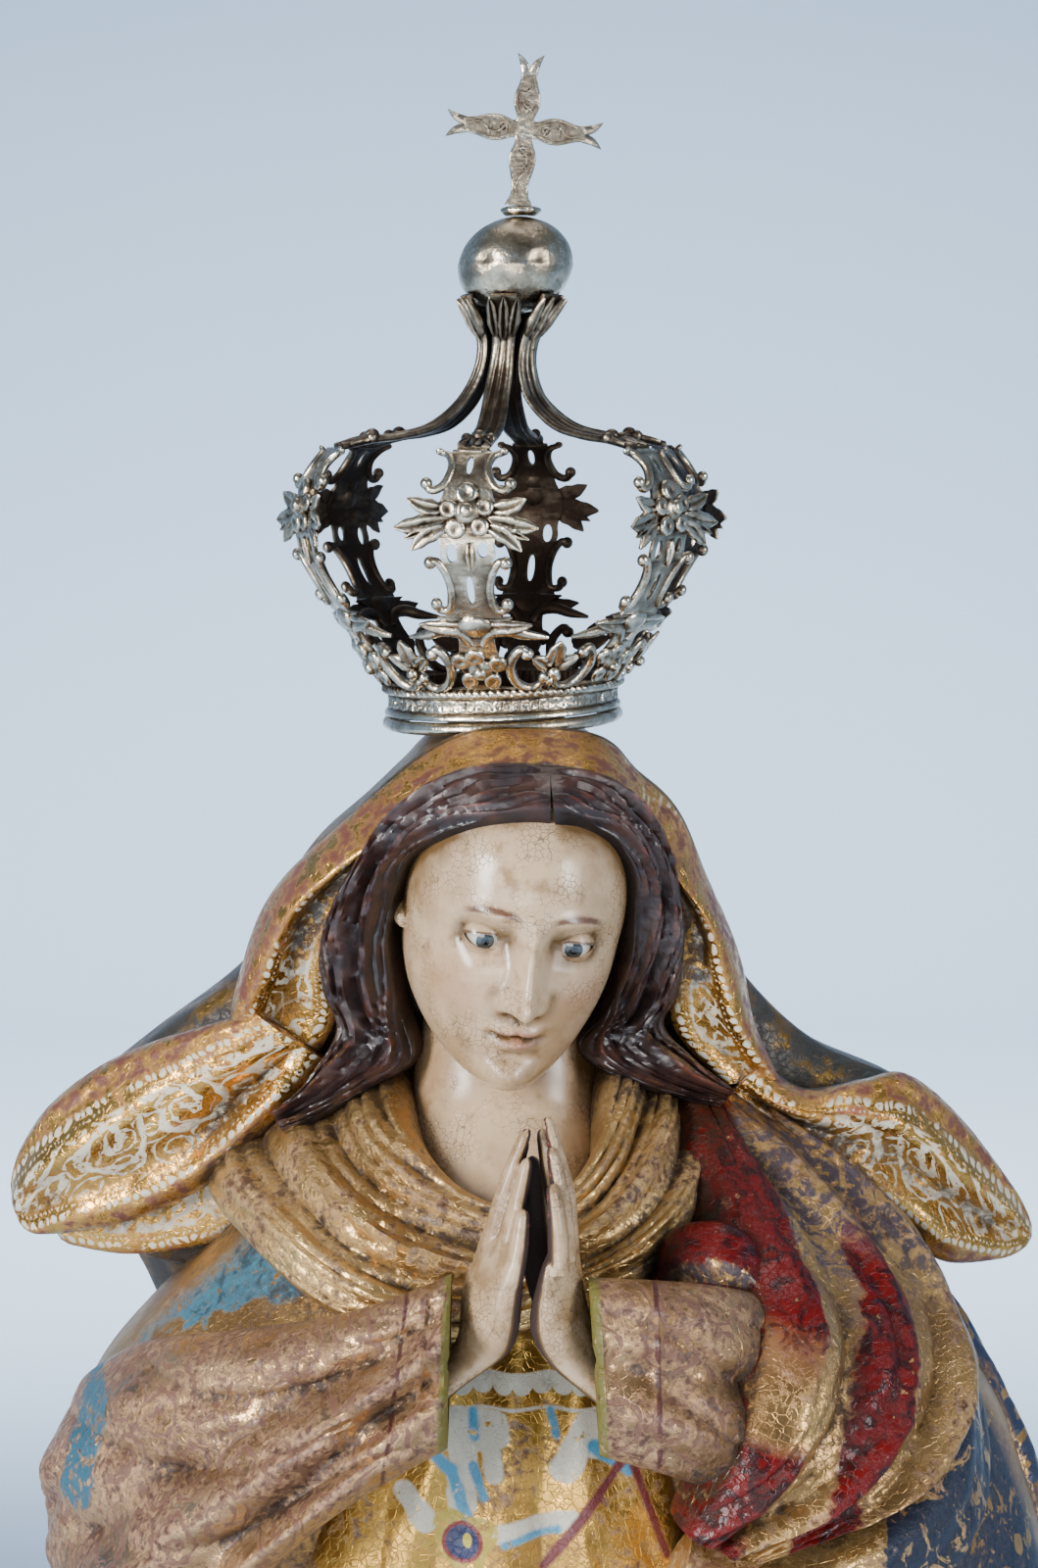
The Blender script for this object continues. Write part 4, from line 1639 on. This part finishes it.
def painted_face(at, colour):
    """Brows, lips, lashes and a blush, thinly painted on the carved features."""
    x = at.add("Math", [at.parts[0]], operation="ABSOLUTE")
    z = at.parts[2]
    front = at.fade(at.parts[1], -12.0, -18.0)
    blush = at.times(at.fade(at.ellipse(x, z, 19.0, 30.0, 12.0, 11.0), 1.0, 0.0), 0.35)
    lips = at.fade(at.ellipse(x, z, 0.0, 17.9, 7.4, 3.5), 1.0, 0.5)
    parting = at.fade(at.ellipse(x, z, 0.0, 18.2, 6.8, 0.5), 1.0, 0.4)
    from_middle = at.add("Math", [x, 11.5], operation="SUBTRACT")
    arc = at.add("Math", [at.times(from_middle, from_middle), -0.032, 56.2], operation="MULTIPLY_ADD")
    off = at.add("Math", [at.add("Math", [z, arc], operation="SUBTRACT")], operation="ABSOLUTE")
    hairs = at.times(at.add("TexNoise", {"Vector": at.solid, "Scale": 1.4, "Detail": 2.0}), 0.8)
    off = at.add("Math", [off, hairs], operation="ADD")
    brow = at.times(at.fade(off, 1.75, 0.9), at.band(x, 5.0, 19.5, 1.6))
    eye_middle = EYES["height"]
    rim = at.ellipse(x, z, EYES["apart"], eye_middle, 6.4, LID_EDGES["upper"][0] + 0.3)
    lash = at.times(at.band(rim, 0.7, 1.35, 0.2), at.fade(z, eye_middle - 0.8, eye_middle + 0.6))
    rim = at.ellipse(x, z, EYES["apart"], eye_middle, 6.4, 0.4 - LID_EDGES["lower"][0])
    waterline = at.times(at.band(rim, 0.8, 1.25, 0.2), at.fade(z, eye_middle, eye_middle - 1.2))
    for paint, mask, strength in (("#b98a6a", blush, 1.0), ("#9c6450", lips, 0.62), ("#6a4234", parting, 0.6),
                                  ("#4c2a1a", brow, 0.88), ("#3d281d", lash, 0.85),
                                  ("#86604c", waterline, 0.6)):
        colour = at.over(colour, paint, at.times(at.times(mask, front), strength))
    return colour


def flesh(name, stained=0.0):
    """Ivory oil paint over gesso, polished, finely crackled and browned, with dirt in the hollows."""
    at = Finish(name)
    tone = at.blotches(at.solid, 22.0, 0.35, 0.7, 4.0)
    colour = at.over("#b99d7c", "#997b59", tone)
    browned = at.blotches(at.solid, 7.0, 0.5 - stained, 0.74 - stained)
    colour = at.over(colour, "#7d5f3a", at.times(browned, 0.8))
    colour = painted_face(at, colour)
    net = at.add("TexVoronoi", {"Vector": at.solid, "Scale": 1 / 1.9}, feature="DISTANCE_TO_EDGE")
    crazed = at.times(at.fade(net, 0.06, 0.015), at.blotches(at.solid, 16.0, 0.44, 0.6, 3.0))
    deep = at.fade(at.hollow, 1.2, 2.2)
    for dirt, mask in (("#4a3a26", at.times(crazed, 0.7)),
                       ("#4e3a24", at.times(at.blotches(at.solid, 0.9, 0.72, 0.76, 2.0), 0.8)),
                       ("#5b4326", at.fade(at.hollow, 0.1, 1.0)), ("#2b1811", deep)):
        colour = at.over(colour, dirt, mask)
    polish = at.add("MapRange", {0: tone, 3: 0.2, 4: 0.36})
    height = at.add("Math", [crazed, -1.0, tone], operation="MULTIPLY_ADD")
    return at.coat(height, 0.4, 0.15, Base_Color=colour,
                   Roughness=at.add("Math", [polish, at.times(deep, 0.5)], operation="ADD"))


def broken_wood():
    """Old cedar broken across the grain, stained red-brown by glue, with gesso crumbs along its edges."""
    at = Finish("broken_red_cedar")
    colour = at.over("#3a1714", "#5e2a20", at.blotches(at.solid, 1.6, 0.4, 0.65))
    colour = at.over(colour, "#b5a78c", at.blotches(at.solid, 0.8, 0.62, 0.7, 3.0))
    fibres = at.add("TexNoise", {"Vector": at.solid, "Scale": 1.2, "Detail": 5.0})
    return at.coat(fibres, 0.8, 0.4, Base_Color=colour, Roughness=0.7)


def eye_glass():
    """A blown glass half ball painted behind: white, a grey-blue iris with a dark rim, and a black pupil."""
    at = Finish("glass_painted_behind")
    away = at.length(at.parts[0], at.parts[1])
    away = at.add("Math", [at.fade(at.parts[2], 0.5, 0.0), 9.0, away], operation="MULTIPLY_ADD")
    angle = at.add("Math", [at.parts[1], at.parts[0]], operation="ARCTAN2")
    rays = at.add("TexNoise", {"W": angle, "Scale": 9.0, "Detail": 3.0}, noise_dimensions="1D")
    iris = at.over("#1d2020", "#3d4240", at.fade(rays, 0.4, 0.65))
    colour = "#b9b2a0"
    for paint, outer, inner in (("#8f7f68", 3.4, 6.0), ("#26333b", 2.75, 2.6), (iris, 2.4, 2.15),
                                ("#08090b", 1.25, 1.1)):
        colour = at.over(colour, paint, at.fade(away, outer, inner))
    return at.coat(Base_Color=colour, Roughness=0.05, Coat_Weight=1.0)


def plinth_wood():
    """Turned and joined cedar under dark red-brown paint, rubbed at the corners and dusty in the hollows."""
    at = Finish("red_brown_paint_on_cedar")
    along_grain = at.add("Mapping", {"Vector": at.cloth, "Scale": (0.02, 0.5, 0.1)})
    grain = at.add("TexNoise", {"Vector": along_grain, "Scale": 1.0, "Detail": 6.0})
    colour = at.over("#3c1f17", "#5a2e20", at.fade(grain, 0.35, 0.7))
    edge = at.add("Math", [at.proud, 0.5, at.blotches(at.solid, 9.0, 0.5, 0.7)], operation="MULTIPLY_ADD")
    colour = at.over(colour, "#8a6244", at.fade(edge, 0.75, 1.0))
    colour = at.over(colour, "#6f6557", at.times(at.fade(at.hollow, 0.2, 1.0), 0.6))
    dull = at.add("MapRange", {0: grain, 3: 0.4, 4: 0.6})
    return at.coat(grain, 0.4, 0.3, Base_Color=colour, Roughness=dull)


def hair_paint():
    """Dark brown-red oil paint over carved locks, rubbed to red-brown along their crests."""
    at = Finish("dark_hair_paint")
    colour = at.over("#211311", "#39221a", at.blotches(at.solid, 9.0, 0.4, 0.65))
    rubbed = at.times(at.fade(at.proud, 0.2, 1.0), at.blotches(at.solid, 5.0, 0.48, 0.6))
    colour = at.over(at.over(colour, "#6c3524", rubbed), "#120b0a", at.fade(at.hollow, 0.0, 0.8))
    brushed = at.add("TexNoise", {"Vector": at.solid, "Scale": 1 / 1.8, "Detail": 5.0})
    dull = at.add("MapRange", {0: at.blotches(at.solid, 7.0, 0.4, 0.7), 3: 0.3, 4: 0.5})
    return at.coat(brushed, 0.5, 0.3, Base_Color=colour, Roughness=dull)


def mark(mesh, name, values):
    layer = mesh.attributes.get(name) or mesh.attributes.new(name, "FLOAT", "POINT")
    layer.data.foreach_set("value", values.astype(np.float32))


def weathered(piece, size=1.0, inward=0.0, level=0.0, valleys=0):
    """Marks where the piece stands proud or lies hollow, over so many edges in wide valleys too, and how
    tarnished it is: by level all over, and by inward on what faces the crown's axis."""
    mesh = piece.data
    n = len(mesh.vertices)
    at, way = points_of(piece), vectors_of(mesh.vertex_normals, "vector")
    ends = np.zeros(len(mesh.edges) * 2, np.int32)
    mesh.edges.foreach_get("vertices", ends)
    a, b = ends.reshape(-1, 2).T
    degree = np.maximum(np.bincount(a, minlength=n) + np.bincount(b, minlength=n), 1)

    def around(values):
        return (np.bincount(a, values[b], n) + np.bincount(b, values[a], n)) / degree

    drift = np.stack([around(at[:, k]) for k in range(3)], -1) - at
    edge = np.linalg.norm(at[a] - at[b], axis=1)
    spread = np.maximum((np.bincount(a, edge, n) + np.bincount(b, edge, n)) / degree, 0.05)
    bend = (drift * way).sum(1) / spread**2 * 4 * size
    for _ in range(3):
        bend = 0.5 * bend + 0.5 * around(bend)
    bend = np.clip(bend, -2, 2)
    broad = bend
    for _ in range(valleys):
        broad = around(broad)
    mark(mesh, "hollow", np.maximum(bend, 0) + np.clip(4 * broad, 0, 0.6) * (valleys > 0))
    mark(mesh, "proud", np.maximum(-bend, 0))
    if inward or level:
        out = at[:, :2] - CROWN_FOOT[:2]
        out /= np.maximum(np.linalg.norm(out, axis=1, keepdims=True), 1e-6)
        facing = (way[:, :2] * out).sum(1)
        rear = smooth(out[:, 1], -0.2, 0.9)
        dusty = 0.16 * smooth(way[:, 2], -0.1, 0.9)
        mark(mesh, "tarnish", level + inward * smooth(-facing, -0.1, 0.5) + 0.12 * rear + dusty)


PALM_BACK = -109.5


def soiled_between(piece, inward):
    """Dirt gathers on the sides of the hands that face each other."""
    mesh = piece.data
    x, y, _ = vectors_of(mesh.vertex_normals, "vector").T
    hollow = np.zeros(len(mesh.vertices))
    mesh.attributes["hollow"].data.foreach_get("value", hollow)
    behind = smooth(points_of(piece)[:, 1], PALM_BACK, PALM_BACK + 2.5)
    hollow += 2.2 * smooth(x * inward + 0.5 * y, 0.0, 0.5) + 2.2 * behind * smooth(-y + x * inward, 0.1, 0.5)
    mark(mesh, "hollow", hollow)


def figure_finishes():
    gold, antique = ("#cb994c", "#a87a3a"), ("#ab8650", "#83633a")
    brown, pale_brown = "#55381f", "#8a6a48"
    teal_strips = beside([-104, 598, -64, 620, 11], [-84, 604, -60, 610, 7], [-122, 578, -104, 596, 5])
    teal_cuff = beside([-124, 574, -130, 548, 5])
    navy_strips = beside([124, 600, 142, 545, 16], [130, 560, 152, 500, 22], [112, 540, 122, 496, 11])
    navy = ("#060e24", both(navy_strips, patches(12.0, 0.4, 0.45)), 0.1)
    trim_lines = beside([30, 567, 41, 537, 1.2], [30, 567, 6, 535, 1.5])
    made = {
        "robe": aged_gilding(
            "gilding_worn_on_the_robe", antique, "#5a3a20", "#94714e", 0.1, roughness=0.42,
            paints=[("#34687a", teal_strips, 0.14),
                    ("#1c4250", both(teal_strips, patches(9.0, 0.5, 0.62)), 0.2), navy]),
        "veil_outer": aged_gilding(
            "gilding_glazed_brown", ("#86662f", "#5a4320"), "#43281b", "#6e5038", 0.08, roughness=0.38,
            paints=[("#2c2519", on_the_cape, 0.06), ("#20221a", patches(7.0, 0.5, 0.66), 0.1)]),
        "veil_lining": aged_gilding(
            "burnished_gilding_painted_white", gold, "#6e361e", "#8a5234", 0.05, roughness=0.24,
            paints=[("#c2b8a2", leaf_scrolls(19.0, 0.05), 0.14), ("#c2b8a2", hem_pattern, 0.14),
                    ("#5e3220", rubbed_rim, 0.05)]),
        "collar": aged_gilding(
            "antique_gilding", ("#d0ab70", "#a5814e"), "#4a2f1c", pale_brown, 0.09, roughness=0.34),
        "sleeve": aged_gilding(
            "gilding_rubbed_to_gesso", ("#bc966c", "#866440"), "#46291a", "#96704f", 0.13,
            engraved=scroll_lines(17.0, 0.05),
            paints=[("#5a3a28", patches(17.0, 0.5, 0.64), 0.26),
                    ("#684632", both(scroll_lines(17.0, 0.05), patches(16.0, 0.36, 0.44)), 0.16),
                    ("#214e5e", teal_cuff, 0.2), ("#5c551e", cuff_edge, 0.14),
                    ("#41180f", cuff_ribbon, 0.05)]),
        "crimson": aged_gilding(
            "crimson_lake_over_gilding", ("#b8925c", "#8c6a42"), "#4a2e1c", "#94745a", 0.09, roughness=0.36,
            paint_gloss=(0.3, 0.25),
            paints=[("#41363a", both(upper_mantle, patches(9.0, 0.4, 0.56)), 0.16),
                    ("#560503", crimson_bands, 0.06),
                    ("#260403", both(crimson_bands, patches(8.0, 0.44, 0.62)), 0.05)]),
        "hem": aged_gilding(
            "gilding_with_blue_paint", ("#c9a468", "#a6804e"), "#6b4830", "#a07e5e", 0.1, paints=[navy]),
        "navy": aged_gilding(
            "blue_paint_with_gilt_leaves", antique, brown, pale_brown, 0.08,
            paints=[("#0e1c3a", lambda at: at.lacking(1.0, at.scrolls(at.cloth, 24.0, 0.1)), 0.1)]),
        "bodice": aged_gilding(
            "gilding_painted_white_and_blue", ("#c6994a", "#a37a3a"), "#5e3c26", "#86684e", 0.06,
            grime_level=0.5,
            paints=[("#b5ac98", chest_white, 0.08), ("#3f7f9a", BLUE_STROKES, 0.12),
                    ("#5a1c1a", trim_lines, 0.03), ("#a08a2c", flower_petals, 0.1),
                    ("#6e1712", round_spot(6.2), 0.05),
                    ("#101c44", round_spot(5.0), 0.05), ("#b7a02e", heart_spot, 0.0)]),
        "swag": aged_gilding("gilding_worn_in_folds", antique, "#5a3a20", "#94714e", 0.1),
        "flesh": flesh("polished_ivory_paint"),
        "hair": hair_paint(),
        "cuff_lining": aged_gilding(
            "olive_glaze_on_the_cuff_linings", ("#5e5722", "#48421a"), brown, "#665a2a", 0.1),
    }
    return [made[name] for name in FINISHES]


metal = silver()

figure = carved_figure(figure_finishes())
weathered(figure, valleys=16)
dressed(figure, "carved_figure")

hand_finishes = [flesh("handled_ivory_paint", 0.1), broken_wood()]
for hand_name in HANDS:
    fingers = hand(hand_name, hand_finishes)
    weathered(fingers, 0.5)
    soiled_between(fingers, -HANDS[hand_name]["outward"])
    dressed(fingers, hand_name)
glass = eye_glass()
for eye_name, side in (("right_eye", -1), ("left_eye", 1)):
    dressed(eye(eye_name, side, glass), eye_name)

arch_bends = [bent_to(ARCH, ARCH_LENGTH, turn) for turn in TURNS]
strap_bends = [bent_to(STRAP, STRAP_LENGTH, turn) for turn in TURNS]
arches = bent_copies("crown_arch_fine", arch_work(), arch_bends, metal)
straps = bent_copies("crown_strap_fine", strap_work(), strap_bends, metal)
for i in range(ARCHES):
    weathered(arches[i], 0.3, 0.55, 0.06)
    weathered(straps[i], 0.3, 0.4, 0.3)
    dressed(arches[i], f"crown_arch_{i + 1}")
    dressed(straps[i], f"crown_strap_{i + 1}")
for made, node, inward, level in (
    (crown_rim(metal), "crown_rim", 0.3, 0.0),
    (crown_band(metal), "crown_band", 0.7, 0.0),
    (orb(metal), "crown_orb", 0.0, 0.08),
    (washer(metal), "crown_washer", 0.0, 0.05),
    (cross(metal), "crown_cross", 0.0, 0.05),
):
    weathered(made, 0.12 if node == "crown_cross" else 0.3, inward, level)
    dressed(made, node)

base_gilding = aged_gilding("gilding_on_the_base", ("#c8933f", "#a87531"), "#5c2c1c", "#8c6a4c", 0.14)
foot = base([plinth_wood(), base_gilding])
weathered(foot)
dressed(foot, "base")

# The studio in metres: a floor that is flat to so far out and then bends up to a wall
FLOOR_FLAT = 3.4
FLOOR_BEND = 1.3
FLOOR_SIDES = 64


def studio():
    """A plain pale floor that turns up into a wall far off, under a pale sky."""
    world = bpy.data.worlds.new("studio")
    world.use_nodes = True
    bpy.context.scene.world = world
    background = world.node_tree.nodes["Background"]
    background.inputs["Color"].default_value = linear("#c6d4e2")
    background.inputs["Strength"].default_value = 0.44
    bend = np.linspace(0.1, math.pi / 2, 9)
    wall = FLOOR_FLAT + FLOOR_BEND
    turn = FLOOR_FLAT + FLOOR_BEND * np.sin(bend)
    radius = np.concatenate([np.linspace(0.5, FLOOR_FLAT, 6), turn, [wall, wall]])
    height = np.concatenate([np.zeros(6), FLOOR_BEND * (1 - np.cos(bend)), [2.6, 5.0]])
    angle = angles_round(FLOOR_SIDES)
    points, faces = [[0.0, 0.0, 0.0]], []
    for r, h in zip(radius, height):
        points += [[r * math.cos(a), r * math.sin(a), h] for a in angle]
    for j in range(FLOOR_SIDES):
        k = (j + 1) % FLOOR_SIDES
        faces.append([0, 1 + j, 1 + k])
        for i in range(len(radius) - 1):
            a, b = 1 + i * FLOOR_SIDES, 1 + (i + 1) * FLOOR_SIDES
            faces.append([a + j, b + j, b + k, a + k])
    mesh = bpy.data.meshes.new("floor")
    mesh.from_pydata(points, [], faces)
    floor = bpy.data.objects.new("floor", mesh)
    bpy.context.scene.collection.objects.link(floor)
    mesh.materials.append(Finish("pale_floor").coat(Base_Color="#bfd5ea", Roughness=0.9))
    mesh.polygons.foreach_set("use_smooth", np.ones(len(mesh.polygons), bool))


def softbox(name, place, aim, size, watts):
    light = bpy.data.lights.new(name, "AREA")
    light.shape, light.size, light.size_y = "RECTANGLE", size[0], size[1]
    light.energy = watts
    lamp = bpy.data.objects.new(name, light)
    lamp.location = place
    lamp.rotation_euler = (Vector(aim) - Vector(place)).to_track_quat("-Z", "Y").to_euler()
    bpy.context.scene.collection.objects.link(lamp)
    return light


studio()
softbox("left_softbox", (-1.5, -1.45, 1.2), (0, 0, 0.7), (0.55, 1.1), 90)
softbox("right_softbox", (1.6, -1.2, 1.2), (0, 0, 0.7), (0.5, 1.0), 34)
softbox("low_front_softbox", (-0.35, -2.3, 0.35), (0, 0, 0.6), (1.3, 0.9), 28)
softbox("top_softbox", (0.0, 0.5, 2.3), (0, 0, 0.8), (1.0, 0.8), 10)
wall_light = softbox("wall_light", (0.0, 0.9, 1.6), (0, 3.4, 0.0), (3.0, 0.4), 76)
wall_light.spread = math.radians(85)
